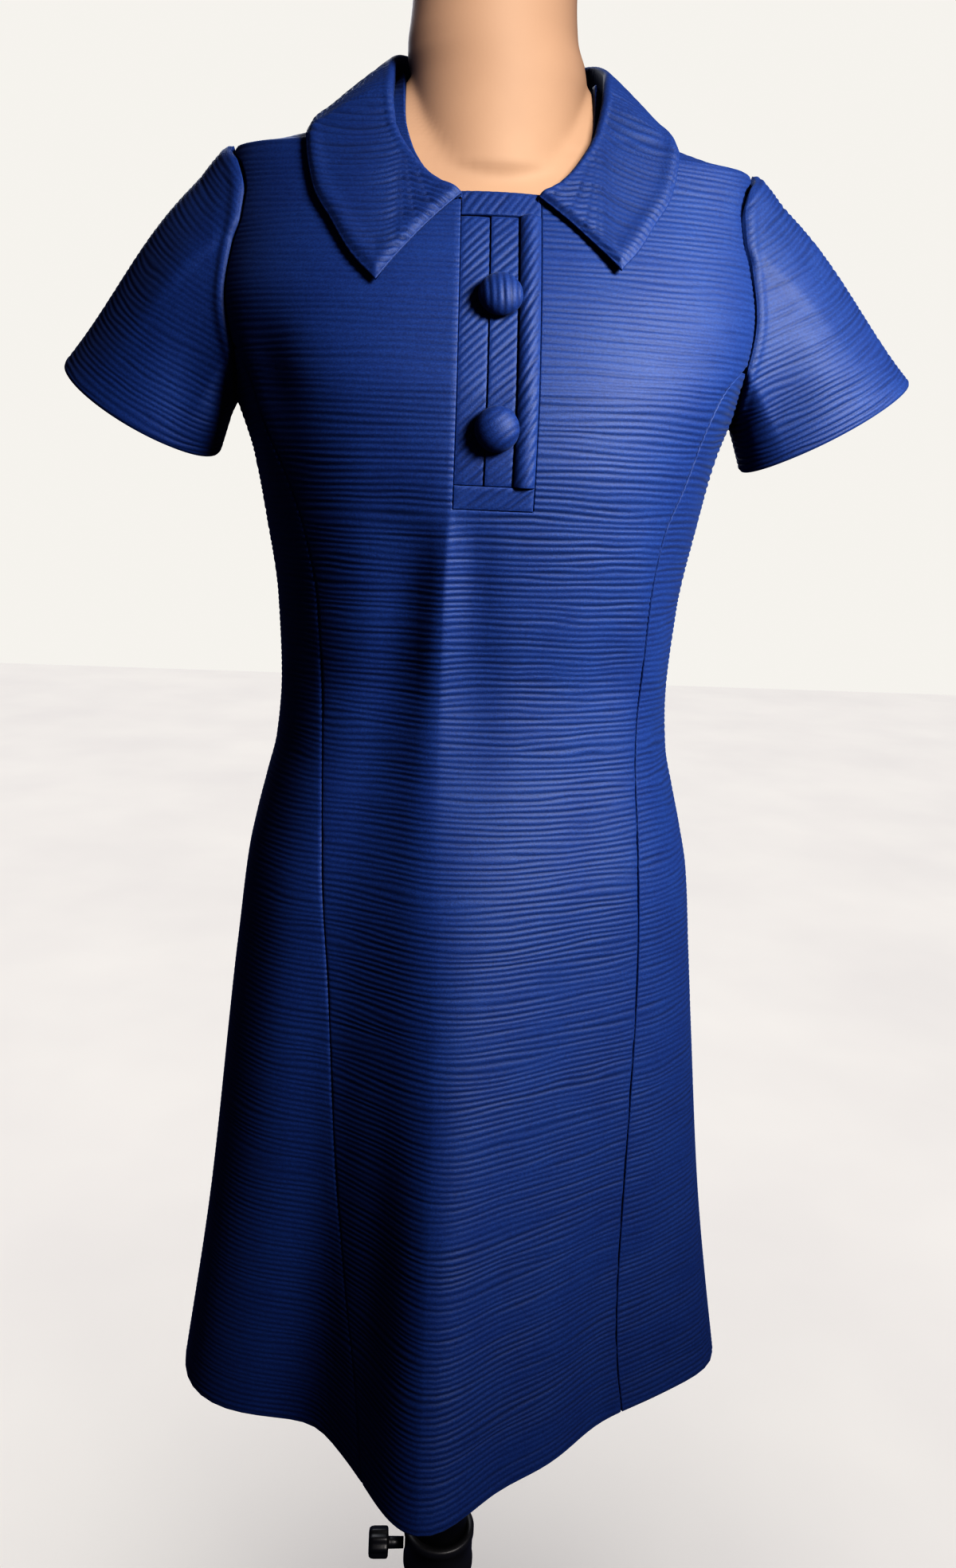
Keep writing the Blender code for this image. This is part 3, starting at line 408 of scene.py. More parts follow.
def curves(table, columns):
    return {name: curve(table, columns, columns[0], name) for name in columns[1:]}


SECTION = curves(SECTIONS, SECTION_COLUMNS)
SEAM = curves(FRONT_SEAMS, SEAM_COLUMNS)
ARMHOLE_TURN = curves(ARMHOLE, ARMHOLE_COLUMNS)
NECK = curves(NECKLINE, NECK_COLUMNS)
COLLAR_AT = curves(COLLAR, COLLAR_COLUMNS)
CLEAR = curves(CLEARANCES, CLEARANCE_COLUMNS)


def signed_power(value, power):
    return np.sign(value) * np.abs(value) ** power


def wrapped(turn):
    return (turn + 180) % 360 - 180


def bell(away, half):
    """1 in the middle, and next to nothing at twice the half width."""
    return np.exp(-((away / half) ** 2))


def grown(value, start, over):
    """0 up to a start, then evenly up to 1 over a stretch, which may be negative."""
    return np.clip((value - start) / over, 0, 1)


def fold_at(turn, height):
    """How far the folds and creases move the surface out."""
    total = np.zeros(np.broadcast(turn, height).shape)
    for turn_at_hem, turn_at_top, top, out, half_turn, lateness in FOLDS:
        share = np.clip((top - height) / (top - HEM), 0, None)
        middle = turn_at_top + (turn_at_hem - turn_at_top) * share
        total = total + out * share**lateness * bell(wrapped(turn - middle), half_turn)
    for turn_at, height_at, out, half_turn, half_height, lean in CREASES:
        away = wrapped(turn - turn_at - lean * (height - height_at))
        total = total + out * bell(away, half_turn) * bell(height - height_at, half_height)
    return total + pleats_at(turn, height)


def pleats_at(turn, height):
    """How far the folds below the placket and its raised edge move the front out."""
    x = SECTION["half_width"](height) * signed_power(np.sin(np.radians(turn)), 2 / SECTION["power"](height))
    total = np.zeros(x.shape)
    for x_top, top, x_bottom, bottom, out, half_top, half_bottom in PLEATS:
        share = np.clip((top - height) / (top - bottom), 0, 1)
        middle = x_top + (x_bottom - x_top) * share
        half = half_top + (half_bottom - half_top) * share
        start = 1 - np.exp(-np.clip(top - height, 0, None) / PLEAT_START)
        total = total + out * start * (1 - share**2) ** 2 * bell(x - middle, half)
    beside = grown(height, SLOT_BOTTOM, 0.006) * grown(height, FRONT_NECK, -0.02)
    total = total + SLOT_RIDGE * beside * bell(x + SLOT_RIGHT + SLOT_RIDGE_AWAY, SLOT_RIDGE_HALF)
    return np.where(np.cos(np.radians(turn)) > 0, total, 0.0)


def depth_at(in_front, height):
    """The half depth of the dress's level sections, in front of the shoulder line or behind it."""
    return np.where(in_front, SECTION["front"](height), SECTION["back"](height))


def body(turn, height):
    """The dress's outer surface at turns and heights, as an array of points."""
    turn, height = np.broadcast_arrays(np.asarray(turn, float), np.asarray(height, float))
    half_width = SECTION["half_width"](height)
    power = SECTION["power"](height)
    s = np.sin(np.radians(turn))
    c = np.cos(np.radians(turn))
    c = np.where(np.abs(c) < 1e-9, 0.0, c)
    depth = depth_at(c > 0, height)
    across = signed_power(s, 2 - 2 / power) / half_width
    ahead = -signed_power(c, 2 - 2 / power) / depth
    size = np.hypot(across, ahead)
    fold = fold_at(turn, height)
    x = half_width * signed_power(s, 2 / power) + across / size * fold
    y = -depth * signed_power(c, 2 / power) + ahead / size * fold
    return np.stack([x, y, height], -1)


def unit(vectors):
    return vectors / np.maximum(np.linalg.norm(vectors, axis=-1, keepdims=True), 1e-12)


def lengths_along(track):
    """How far along a track of points each one lies."""
    return np.concatenate([[0], np.cumsum(np.linalg.norm(np.diff(track, axis=0), axis=1))])


def directions(turn, height):
    """The unit vectors along the turn and out of the surface."""
    turn_step, height_step = 0.5, 0.0006
    along = body(turn + turn_step, height) - body(turn - turn_step, height)
    high = np.minimum(height + height_step, NECK_POINT)
    low = np.maximum(height - height_step, HEM)
    up = body(turn, high) - body(turn, low)
    return unit(along), unit(np.cross(along, up))


def on_body(turn, height, out=0.0, along=0.0):
    tangent, normal = directions(turn, height)
    out = np.asarray(out, float)[..., None]
    along = np.asarray(along, float)[..., None]
    return body(turn, height) + normal * out + tangent * along


def turn_of_x(x, height):
    share = np.minimum(np.abs(x) / SECTION["half_width"](height), 1.0)
    turn = np.degrees(np.arcsin(share ** (SECTION["power"](height) / 2)))
    return np.sign(x) * turn


def armhole_edge(height, which):
    share = (height - ARMPIT) / (SHOULDER_TIP - ARMPIT)
    inside = (share > 0) & (share < 1)
    return np.where(inside, ARMHOLE_TURN[which](share), 90.0)


# Lines down the dress: each is a function that gives turns at some heights.

def mirrored(line, whole=0):
    """A line of the wearer's left, on the right. Its turns count back from whole, 360 at the back."""
    return lambda height: whole - line(height)


def front_seam(side):
    def line(height):
        seam = turn_of_x(SEAM[side](height), height)
        return np.where(height < SEAM_TOP, seam, side_edge(height))

    return line if side == "left" else mirrored(line)


def slot_edge(side):
    slot = SLOT_LEFT if side == "left" else SLOT_RIGHT

    def line(height):
        x = np.where(height > FRONT_NECK, np.maximum(slot, NECK["front"](height)), slot)
        return turn_of_x(x, height)

    return line if side == "left" else mirrored(line)


def side_edge(height):
    return armhole_edge(height, "front_turn")


def back_edge(height):
    return 180 - armhole_edge(height, "back_turn")


def back_neck_edge(height):
    return 180 - turn_of_x(NECK["back"](height), height)


# ---------------------------------------------------------------- ribs

def smooth_noise(u, v, layer):
    """Smooth values from 0 to 1 over a plane, the same each run."""
    grid = LATTICE[layer]
    i, j = np.floor(u).astype(int), np.floor(v).astype(int)
    a, b = u - i, v - j
    a, b = a * a * (3 - 2 * a), b * b * (3 - 2 * b)
    i0, i1, j0, j1 = i % LATTICE_SIZE, (i + 1) % LATTICE_SIZE, j % LATTICE_SIZE, (j + 1) % LATTICE_SIZE
    low = grid[i0, j0] * (1 - a) + grid[i1, j0] * a
    high = grid[i0, j1] * (1 - a) + grid[i1, j1] * a
    return low * (1 - b) + high * b


def ribs(along, across, wander=1.0):
    """How deep in a groove a place lies, from 0 on a crest to about 1, where along runs with the ribs
    and across runs over them, both in metres. The ribs wander, and each groove comes and goes."""
    phase = across / RIB
    for layer, (length, width, share) in enumerate(DRIFTS):
        phase = phase + (smooth_noise(along / length, across / width, layer) - 0.5) * share * wander
    number = np.floor(phase)
    valley = ((1 - np.cos(2 * np.pi * (phase - number))) / 2) ** 1.5
    run = smooth_noise(along / 0.032 + number * 3.7, number * 0.61, 2)
    patch = smooth_noise(along / 0.060, across / 0.030, 3)
    depth = GROOVE_BASE + GROOVE_RUN * run + GROOVE_PATCH * patch
    return valley * np.clip(depth, GROOVE_LEAST, GROOVE_MOST)


# ---------------------------------------------------------------- meshes

def add_mesh(name, points, faces, material, smooth=True, rib_painted_shade=None):
    mesh = bpy.data.meshes.new(name)
    mesh.from_pydata(points.reshape(-1, 3).tolist(), [], faces)
    mesh.polygons.foreach_set("use_smooth", [smooth] * len(mesh.polygons))
    mesh.materials.append(material)
    if rib_painted_shade is not None:
        # Painted shade: this attribute gives each point's place on the ribs, 1 on a crest and 0 down in a
        # groove, and the cloth is coloured darker in the grooves from it.
        layer = mesh.attributes.new("rib_painted_shade", "FLOAT", "POINT")
        layer.data.foreach_set("value", np.asarray(rib_painted_shade, np.float32))
    mesh.update()
    thing = bpy.data.objects.new(name, mesh)
    bpy.context.scene.collection.objects.link(thing)
    return thing


def place(thing, node):
    """Stands a piece for the solid of the same name."""
    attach(thing, "root")
    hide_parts(node)


class Shell:
    """A thin closed wall: a fine outer grid, a coarse inner grid made of some of its rows, and the rims
    between them. In a ring the last column joins the first."""

    def __init__(self, outer, inner, inner_rows, rib_painted_shade, open_cells=None, ring=False):
        self.rows, self.columns = outer.shape[:2]
        self.inner_rows = inner_rows
        self.ring = ring
        self.points = np.vstack([outer.reshape(-1, 3), inner.reshape(-1, 3)])
        # The outer face's place on the ribs sets its painted shade; the inner face gets the crests' colour.
        self.rib_painted_shade = np.concatenate([rib_painted_shade.ravel(), np.ones(inner.shape[0] * self.columns)])
        all_cells = np.ones((self.rows - 1, self.columns - (0 if ring else 1)), bool)
        self.cells = all_cells if open_cells is None else ~open_cells
        self.faces = []

    def out(self, row, column):
        return row * self.columns + column % self.columns

    def back(self, row, column):
        return self.out(self.rows + row, column)

    def build(self):
        r, c = np.nonzero(self.cells)
        corners = [self.out(r, c), self.out(r, c + 1), self.out(r + 1, c + 1), self.out(r + 1, c)]
        self.faces = np.stack(corners, 1).tolist()
        for k, (low, high) in enumerate(zip(self.inner_rows, self.inner_rows[1:])):
            solid = self.cells[low:high].all(axis=0)
            for c in np.nonzero(solid)[0]:
                self.close(k, low, high, c, solid)

    def close(self, k, low, high, c, solid):
        """One cell of the inner grid, with a rim on each side where the wall ends."""
        out, back = self.out, self.back
        self.faces.append((back(k, c), back(k + 1, c), back(k + 1, c + 1), back(k, c + 1)))
        if not self.ring and (c == 0 or not solid[c - 1]):
            rim = [out(row, c) for row in range(low, high + 1)]
            self.faces.append((*rim, back(k + 1, c), back(k, c)))
        if not self.ring and (c == len(solid) - 1 or not solid[c + 1]):
            rim = [out(row, c + 1) for row in range(high, low - 1, -1)]
            self.faces.append((*rim, back(k, c + 1), back(k + 1, c + 1)))
        if low == 0 or not self.cells[low - 1, c]:
            self.faces.append((out(low, c + 1), out(low, c), back(k, c), back(k, c + 1)))
        if high == self.rows - 1 or not self.cells[high, c]:
            self.faces.append((out(high, c), out(high, c + 1), back(k + 1, c + 1), back(k + 1, c)))

    def make(self, node, cloth, flip=False):
        """The piece of cloth that stands for the solid of this name."""
        self.build()
        used = np.zeros(len(self.points), bool)
        for face in self.faces:
            used[list(face)] = True
        number = np.cumsum(used) - 1
        faces = [tuple(number[list(face)].tolist()) for face in self.faces]
        if flip:
            faces = [face[::-1] for face in faces]
        piece = add_mesh(f"{node}_knit", self.points[used], faces, cloth, rib_painted_shade=self.rib_painted_shade[used])
        place(piece, node)
        return piece


def spread(first, last, height, count):
    """The turns of a stretch of columns between two lines: close together at its two edges."""
    steps = np.linspace(0, 1, 9)
    track = body(first[:, None] + (last - first)[:, None] * steps, height[:, None])
    width = np.linalg.norm(np.diff(track, axis=1), axis=2).sum(axis=1)
    edge = EDGE_OFFSETS / np.maximum(width, LEAST_STRETCH)[:, None]
    start = edge[:, -1:]
    between = start + (1 - 2 * start) * np.arange(1, count) / count
    shares = np.concatenate([edge, between, 1 - edge[:, ::-1]], 1)
    return first[:, None] + (last - first)[:, None] * shares


def edge_dip(columns, first, last):
    """How far the columns of a stretch dip towards its two edges, as shares of EDGE_DIPS."""
    dip = np.zeros(columns)
    dip[: len(EDGE_DIPS)] = EDGE_DIPS * first
    dip[-len(EDGE_DIPS):] = EDGE_DIPS[::-1] * last
    return dip


def rib_rows(bottom, top, turn):
    """Heights a fifth of the ribs' pitch apart along the cloth, and how far along the cloth each one lies.
    """
    heights = np.linspace(HEM, NECK_POINT, 4000)
    length = lengths_along(body(np.full(heights.shape, float(turn)), heights))
    low, high = np.interp((bottom, top), heights, length)
    along = np.linspace(low, high, round((high - low) / ROW_STEP) + 1)
    return np.interp(along, length, heights), along


def coarse_rows(count, step, extra=()):
    return sorted(set(range(0, count, step)) | {count - 1} | set(extra))


def panel_ribs(turn, height, length, calm):
    groove = ribs(np.radians(turn) * RIB_REACH + 10, length[:, None] + 0 * turn + 1.0)
    groove = groove * (1 - SEAM_CALM * calm)
    groove = groove * (1 - YOKE_FLAT * grown(height[:, None], YOKE_FLAT_FROM, YOKE_FLAT_OVER))
    return groove * (1 - SIDE_FLAT * grown(-wrapped(turn), SIDE_FLAT_FROM, SIDE_FLAT_OVER))


def panel(node, stretches, top, rib_turn, cloth, opening=None):
    """A panel of the dress up from the hem. Each stretch has the two lines that its columns lie between,
    how many they are, and its dips. An opening has the stretch that it is in, and its floor."""
    height, length = rib_rows(HEM, top, rib_turn)
    rows = len(height)
    turns, dips, calms = [], [], []
    for first, last, count, seams in stretches:
        part = spread(first(height), last(height), height, count)
        begin = 1 if turns else 0
        turns.append(part[:, begin:])
        dips.append(edge_dip(part.shape[1], *seams)[begin:])
        calms.append(edge_dip(part.shape[1], *np.ceil(seams))[begin:] / EDGE_DIPS[0])
    turn = np.concatenate(turns, 1)
    open_cells, extra = None, []
    if opening:
        stretch, floor = opening
        starts = np.cumsum([0] + [part.shape[1] for part in turns]) - 1
        low = int(np.argmin(np.abs(height - floor)))
        open_cells = np.zeros((rows - 1, turn.shape[1] - 1), bool)
        open_cells[low:, starts[stretch] : starts[stretch + 1]] = True
        extra = [low]
    groove = panel_ribs(turn, height, length, np.concatenate(calms))
    hem_round = HEM_ROUND * (1 - np.minimum(1, 0.35 + np.arange(rows) * ROW_STEP / HEM_ROUND_TALL))
    pucker = PUCKER_LEAST + PUCKER_MORE * smooth_noise(length / PUCKER_LENGTH, np.zeros(rows), 4)
    out = -RIB_DEPTH * groove - np.concatenate(dips) * pucker[:, None] - hem_round[:, None]
    shift = np.zeros(turn.shape)
    shift[:, 0] = SEAM_GAP / 2
    shift[:, -1] = -SEAM_GAP / 2
    outer = on_body(turn, height[:, None], out, shift)
    inner_rows = coarse_rows(rows, PANEL_STEP, extra)
    hem_fold = HEM_FOLD * grown(height, HEM + HEM_TURN, -FOLD_EDGE)[:, None]
    inner = on_body(turn, height[:, None], -CLOTH - UNDERSIDE - hem_fold + 0 * turn, shift)[inner_rows]
    return Shell(outer, inner, inner_rows, 1 - groove, open_cells).make(node, cloth)


def make_panels(cloth):
    front = panel("front_centre", (
        (front_seam("right"), slot_edge("right"), 13, (0.4, 0)),
        (slot_edge("right"), slot_edge("left"), 6, (0, 0)),
        (slot_edge("left"), front_seam("left"), 14, (0, 1.3)),
    ), NECK_POINT, 30, cloth, opening=(1, SLOT_BOTTOM))
    left = (front_seam("left"), side_edge, 15, (0.05, 0.7))
    right = (mirrored(side_edge), front_seam("right"), 22, (0.7, 1))
    for side, stretch, width, area in (("left", left, 0.15, 0.062), ("right", right, 0.21, 0.078)):
        piece = panel(f"front_side_{side}", (stretch,), PANEL_TOP, 30, cloth)
    right_neck = mirrored(back_neck_edge, 360)
    back = panel("back", (
        (back_edge, back_neck_edge, 22, (0.7, 0)),
        (back_neck_edge, right_neck, 6, (0, 0)),
        (right_neck, mirrored(back_edge, 360), 22, (0, 0.7)),
    ), NECK_POINT, 150, cloth, opening=(1, BACK_NECK))


# ---------------------------------------------------------------- sleeves

def armhole_track(sign):
    """The seam line round an armhole, from the armpit up the front and down the back."""
    low = ARMPIT + (SHOULDER_TIP - ARMPIT) * (0.5 - 0.5 * np.cos(np.linspace(0, math.pi, 160)))
    front = on_body(sign * armhole_edge(low, "front_turn"), low, 0.0, sign * SEAM_GAP / 2)
    high = low[-2:0:-1]
    behind = on_body(sign * (180 - armhole_edge(high, "back_turn")), high, 0.0, -sign * SEAM_GAP / 2)
    return np.vstack([front, behind])


def resample(ring, count):
    """A closed ring's points, the same distance apart, and its length."""
    closed = np.vstack([ring, ring[:1]])
    length = lengths_along(closed)
    at = np.arange(count) / count * length[-1]
    return np.stack([np.interp(at, length, closed[:, i]) for i in range(3)], 1), length[-1]


def sleeve_surface(head, cuff, angle, sign):
    """The sleeve's smooth surface from its head down to the cuff, puffed out near the head."""
    share = np.linspace(0, 1, round(SLEEVE_LENGTH / ROW_STEP) + 1)[:, None, None]
    top = (0.5 - 0.5 * np.cos(angle))[None, :, None]
    bulge = SLEEVE_PUFF * np.sin(np.pi * share) * (1 - share)
    bulge = bulge + HEAD_PUFF * top**3 * bell(share - 0.05, 0.08)
    outward = np.array([sign * 0.7, 0.0, 0.7]) * top
    return head[None] * (1 - share) + cuff[None] * share + outward * bulge, share[..., 0]


def sleeve_creases(side, share_round, share_down):
    crease = 0 * share_round * share_down
    for which, at_round, at_share, out, half_round, half_share in SLEEVE_CREASES:
        if which == side:
            away = (share_round - at_round + 0.5) % 1 - 0.5
            crease = crease + out * bell(away, half_round) * bell(share_down - at_share, half_share)
    return crease * np.minimum(1, share_down * 8)


def make_sleeve(side, cuff_shape, cloth):
    sign = 1 if side == "left" else -1
    head, size = resample(armhole_track(sign), ROUND_SLEEVE)
    head = head + np.array([sign * 2 * SEAM_GAP, 0, 0])
    share_round = np.arange(ROUND_SLEEVE) / ROUND_SLEEVE
    angle = 2 * np.pi * share_round
    middle, outer_half, back_half = cuff_shape
    cuff = np.array(middle) - np.outer(np.cos(angle), outer_half) - np.outer(np.sin(angle), back_half)
    surface, share_down = sleeve_surface(head, cuff, angle, sign)
    around = np.roll(surface, -1, 1) - np.roll(surface, 1, 1)
    normal = unit(np.cross(around, np.gradient(surface, axis=0)) * -sign)
    crease = sleeve_creases(side, share_round, share_down)
    length = np.linalg.norm(head - cuff, axis=1)
    from_head = share_down * length
    from_cuff = length - from_head
    groove = ribs(share_round * size + (3 if side == "left" else 5) + 0 * from_cuff, from_cuff + 2.0)
    groove = groove * np.clip(from_cuff / 0.003, 0.3, 1) * np.clip(from_head / 0.003, 0.3, 1)
    groove = groove * SLEEVE_RIBS[side]
    roll = HEAD_ROLL * bell(from_head - 0.005, 0.004) - HEAD_SINK * bell(from_head, 0.0015)
    out = crease - RIB_DEPTH * groove + roll - CUFF_ROUND * bell(from_cuff, 0.0012)
    outer = surface + normal * out[..., None]
    inside = head.mean(axis=0) - head
    inside[:, 0] = 0
    inside = unit(inside)
    flange = head + inside * 0.0036 - np.array([sign * ALLOWANCE, 0, 0])
    outer = np.concatenate([[flange, head + inside * TUCK_OUTER], outer])
    groove = np.concatenate([np.zeros((2, ROUND_SLEEVE)), groove])
    inner_rows = [0, 1] + [row + 2 for row in coarse_rows(len(share_down), PANEL_STEP)]
    hem_fold = HEM_FOLD * grown(from_cuff, CUFF_TURN, -FOLD_EDGE)
    inner = surface + normal * (crease - CLOTH - hem_fold - 0.0006)[..., None]
    inner[0] = head + inside * 0.0040
    tuck = [flange + inside * 0.0008, head + inside * TUCK_INNER]
    inner = np.concatenate([tuck, inner])[inner_rows]
    wall = Shell(outer, inner, inner_rows, 1 - groove, ring=True)
    piece = wall.make(f"sleeve_{side}", cloth, flip=side == "left")


# ---------------------------------------------------------------- collar

def on_shoulder(x, y):
    """The height of the dress's surface above places on the floor plan, from the bust up."""
    low = np.full(np.shape(x), BUST)
    high = np.full(np.shape(x), NECK_POINT)
    for _ in range(HALVINGS):
        height = (low + high) / 2
        depth = depth_at(y < 0, height)
        power = SECTION["power"](height)
        reach = (np.abs(x) / SECTION["half_width"](height)) ** power + (np.abs(y) / depth) ** power
        low = np.where(reach < 1, height, low)
        high = np.where(reach < 1, high, height)
    return (low + high) / 2


def shoulder_normal(x, y):
    step = 0.001
    slope_x = (on_shoulder(x + step, y) - on_shoulder(x - step, y)) / (2 * step)
    slope_y = (on_shoulder(x, y + step) - on_shoulder(x, y - step)) / (2 * step)
    return unit(np.stack([-slope_x, -slope_y, np.ones(np.shape(x))], -1))


def drape_length(x, y):
    """How far a place is from the shoulder line along the cloth, less than 0 in front."""
    steps = np.linspace(0, 1, 14)
    track_y = y[..., None] * steps
    track_z = on_shoulder(x[..., None] + 0 * track_y, track_y)
    lengths = np.hypot(np.diff(track_y, axis=-1), np.diff(track_z, axis=-1)).sum(-1)
    return np.sign(y) * lengths


def collar_surface(station, side, share):
    """The collar's smooth underside: places on it, and its normals."""
    neck_x, neck_y = COLLAR_AT["neck_x"](station), COLLAR_AT["neck_y"](station)
    x = COLLAR_AT["outer_x"](station) * (1 - share) + neck_x * share
    y = COLLAR_AT["outer_y"](station) * (1 - share) + neck_y * share
    stays = share * grown(station, 0.35, 0.25)
    x = -x * side - COLLAR_SHIFT * (1 - (1 - station) ** 8) * (1 - stays)
    y = y - side * COLLAR_TILT * (1 - station) ** 3 * (1 - share)
    # It lies on the dress in front, and spans the hollow between the neck and the shoulder.
    lying = on_shoulder(x, y)
    edge = on_shoulder(x[0], y[0])
    straight = edge + (COLLAR_AT["top"](station) - edge) * share
    straight = straight + 4 * COLLAR_CROWN * share * (1 - share)
    height = lying + COLLAR_EASE * np.log1p(np.exp((straight - lying) / COLLAR_EASE))
    return np.stack([x, y, height], -1), shoulder_normal(x, y)


def make_collar(cloth):
    """Both fronts and the back of the collar: a fall that lies on the shoulders, a rounded roll round
    the neck, and a stand that goes down inside it."""
    at = np.sort(np.concatenate([np.linspace(-1, 1, 421), [-0.997, 0.997, -0.9925, 0.9925]]))
    share = np.concatenate([[0, 0.012, 0.03], np.linspace(0.055, 1, 66)])
    at, share = np.meshgrid(at, share)
    station = 1 - np.abs(at)
    side = np.sign(at + 1e-12)
    surface, normal = collar_surface(station, side, share)
    x, y = surface[..., 0], surface[..., 1]
    # The ribs run across the collar and fall towards the front centre.
    slant = np.radians(np.where(side > 0, COLLAR_SLANT_RIGHT, COLLAR_SLANT_LEFT))
    across = drape_length(x, y) - np.abs(x) * np.tan(slant) * grown(y, 0.02, -0.05)
    groove = ribs(np.abs(x) + 7 + side, across + 3.0, 0.8)
    near = np.minimum(share * COLLAR_WIDE, station * COLLAR_LONG)
    rim = bell(near, 0.0024)
    groove = groove * np.clip(near / 0.002, 0.3, 1)
    groove = groove * np.clip((1 - share) / 0.06, 0.35, 1)
    flare = np.where(side > 0, COLLAR_FLARE_RIGHT, COLLAR_FLARE_LEFT)
    flare = flare * np.clip(1 - station * 1.6, 0.25, 1) * bell(share, 0.25)
    out = COLLAR_LIFT + COLLAR_THICKNESS + COLLAR_PUFF * bell(near - 0.006, 0.005) + flare
    out = out - COLLAR_RIM * rim - COLLAR_GROOVE * groove
    outer = surface + normal * out[..., None]
    under = surface + normal * (COLLAR_LIFT + flare + 0.0004 * rim)[..., None]
    radius = ROLL_FRONT + (ROLL_BACK - ROLL_FRONT) * grown(station[-1], 0, 0.45)
    turned_rows, turned_under = roll_over(outer[-6:], radius)
    outer = np.concatenate([outer, turned_rows])
    under = np.concatenate([under, turned_under])
    # Painted shade from the grooves, as on the dress; the rolled rows have no grooves and get a colour
    # between a crest's and a groove's.
    rib_painted_shade = np.concatenate([1 - groove, np.full((len(turned_rows), groove.shape[1]), 0.8)])
    inner_rows = coarse_rows(len(outer), COLLAR_STEP)
    piece = Shell(outer, under[inner_rows], inner_rows, rib_painted_shade).make("collar", cloth)


def roll_over(rows, radius):
    """Rows that carry the collar on from its last row: over a round roll, then down inside."""
    top = rows[-1]
    inward = NECK_MIDDLE - top
    inward[:, 2] = 0
    inward = unit(inward)
    up = np.array([0.0, 0.0, 1.0])
    track = top - rows[0]
    climb = np.arctan2(track[:, 2], np.maximum((track * inward).sum(-1), 1e-5))
    climb = np.clip(climb, LEAST_CLIMB, MOST_CLIMB)
    # The columns are smoothed along the collar, so that the roll's edge runs evenly.
    kernel = np.hanning(SMOOTHING) / np.hanning(SMOOTHING).sum()
    climb = np.convolve(np.pad(climb, SMOOTHING // 2, mode="edge"), kernel, "valid")
    along = np.cos(climb)[:, None] * inward + np.sin(climb)[:, None] * up
    in_and_down = np.sin(climb)[:, None] * inward - np.cos(climb)[:, None] * up
    radius = radius[:, None]
    centre = top + radius * in_and_down
    made, backs = [], []
    for k in range(1, ROLL_STEPS + 1):
        bend = (climb + math.pi / 2)[:, None] * k / ROLL_STEPS
        direction = -np.cos(bend) * in_and_down + np.sin(bend) * along
        made.append(centre + radius * direction)
        backs.append(centre + np.maximum(radius - CLOTH, 0.0002) * direction)
    last, last_back = made[-1], backs[-1]
    foot = np.minimum(on_shoulder(last[:, 0], last[:, 1]), BACK_NECK + 0.002)
    drop = np.maximum(last[:, 2] - foot, 0.002)[:, None]
    for k in range(1, STAND_STEPS + 1):
        down = up * drop * k / STAND_STEPS
        made.append(last - down)
        backs.append(last_back - down)
    return np.array(made), np.array(backs)


# ---------------------------------------------------------------- placket and buttons

def closer_at_ends(length, first):
    """Places along a strip 0.8 mm apart, and closer at its two rounded edges."""
    between = np.arange(first, length - 0.0020, 0.0008)
    return np.concatenate([STRIP_EDGES, between, length - STRIP_EDGES[::-1]])


def make_placket(cloth):
    first = -SLOT_RIGHT + SEAM_GAP
    width = SLOT_LEFT + SLOT_RIGHT - 2 * SEAM_GAP
    for name, start, end, bottom, top, out, crown, slant in STRIPS:
        low = bottom + (SEAM_GAP / 2 if bottom > SLOT_BOTTOM else SEAM_GAP)
        high = top - SEAM_GAP / 2
        left = first + width * start + (SEAM_GAP / 2 if start > 0 else 0)
        right = first + width * end - (SEAM_GAP / 2 if end < 1 else 0)
        u, v = np.meshgrid(closer_at_ends(right - left, 0.0024), closer_at_ends(high - low, 0.0023))
        x, height = left + u, low + v
        angle = math.radians(slant)
        over = height * math.cos(angle) - x * math.sin(angle)
        run = x * math.cos(angle) + height * math.sin(angle)
        groove = ribs(run + 11 + out * 1000, over + 4.0, 0.7)
        to_edge = np.minimum(np.minimum(u, right - left - u), np.minimum(v, high - low - v))
        half = (right - left) / 2
        crowned = crown * (1 - ((u - half) / half) ** 2)
        groove = groove * np.clip(to_edge / 0.0018, 0.25, 1)
        depth = out + crowned - STRIP_RIM * bell(to_edge, 0.0011) - RIB_DEPTH * 1.05 * groove
        turn = turn_of_x(x, height)
        inner_rows = coarse_rows(len(v), STRIP_STEP)
        inner = on_body(turn, height, out - CLOTH - 0.0004 + 0 * x)[inner_rows]
        piece = Shell(on_body(turn, height, depth), inner, inner_rows, 1 - groove).make(name, cloth)


def button_profile():
    """The button's (radius, rise) rows: its shank, its flat underside, its round rim and its dome."""
    rim = SHANK_HEIGHT + BUTTON_RIM
    profile = [
        (0.0070, 0.0),
        (0.0072, SHANK_HEIGHT),
        (BUTTON_RADIUS * 0.86, SHANK_HEIGHT + 0.0004),
        (BUTTON_RADIUS * 0.975, SHANK_HEIGHT + 0.0012),
        (BUTTON_RADIUS, rim),
    ]
    for tilt in np.arange(1, DOME_ROWS) / DOME_ROWS * math.pi / 2:
        profile.append((BUTTON_RADIUS * math.cos(tilt), rim + BUTTON_DOME * math.sin(tilt)))
    return profile + [(0.0001, rim + BUTTON_DOME)]


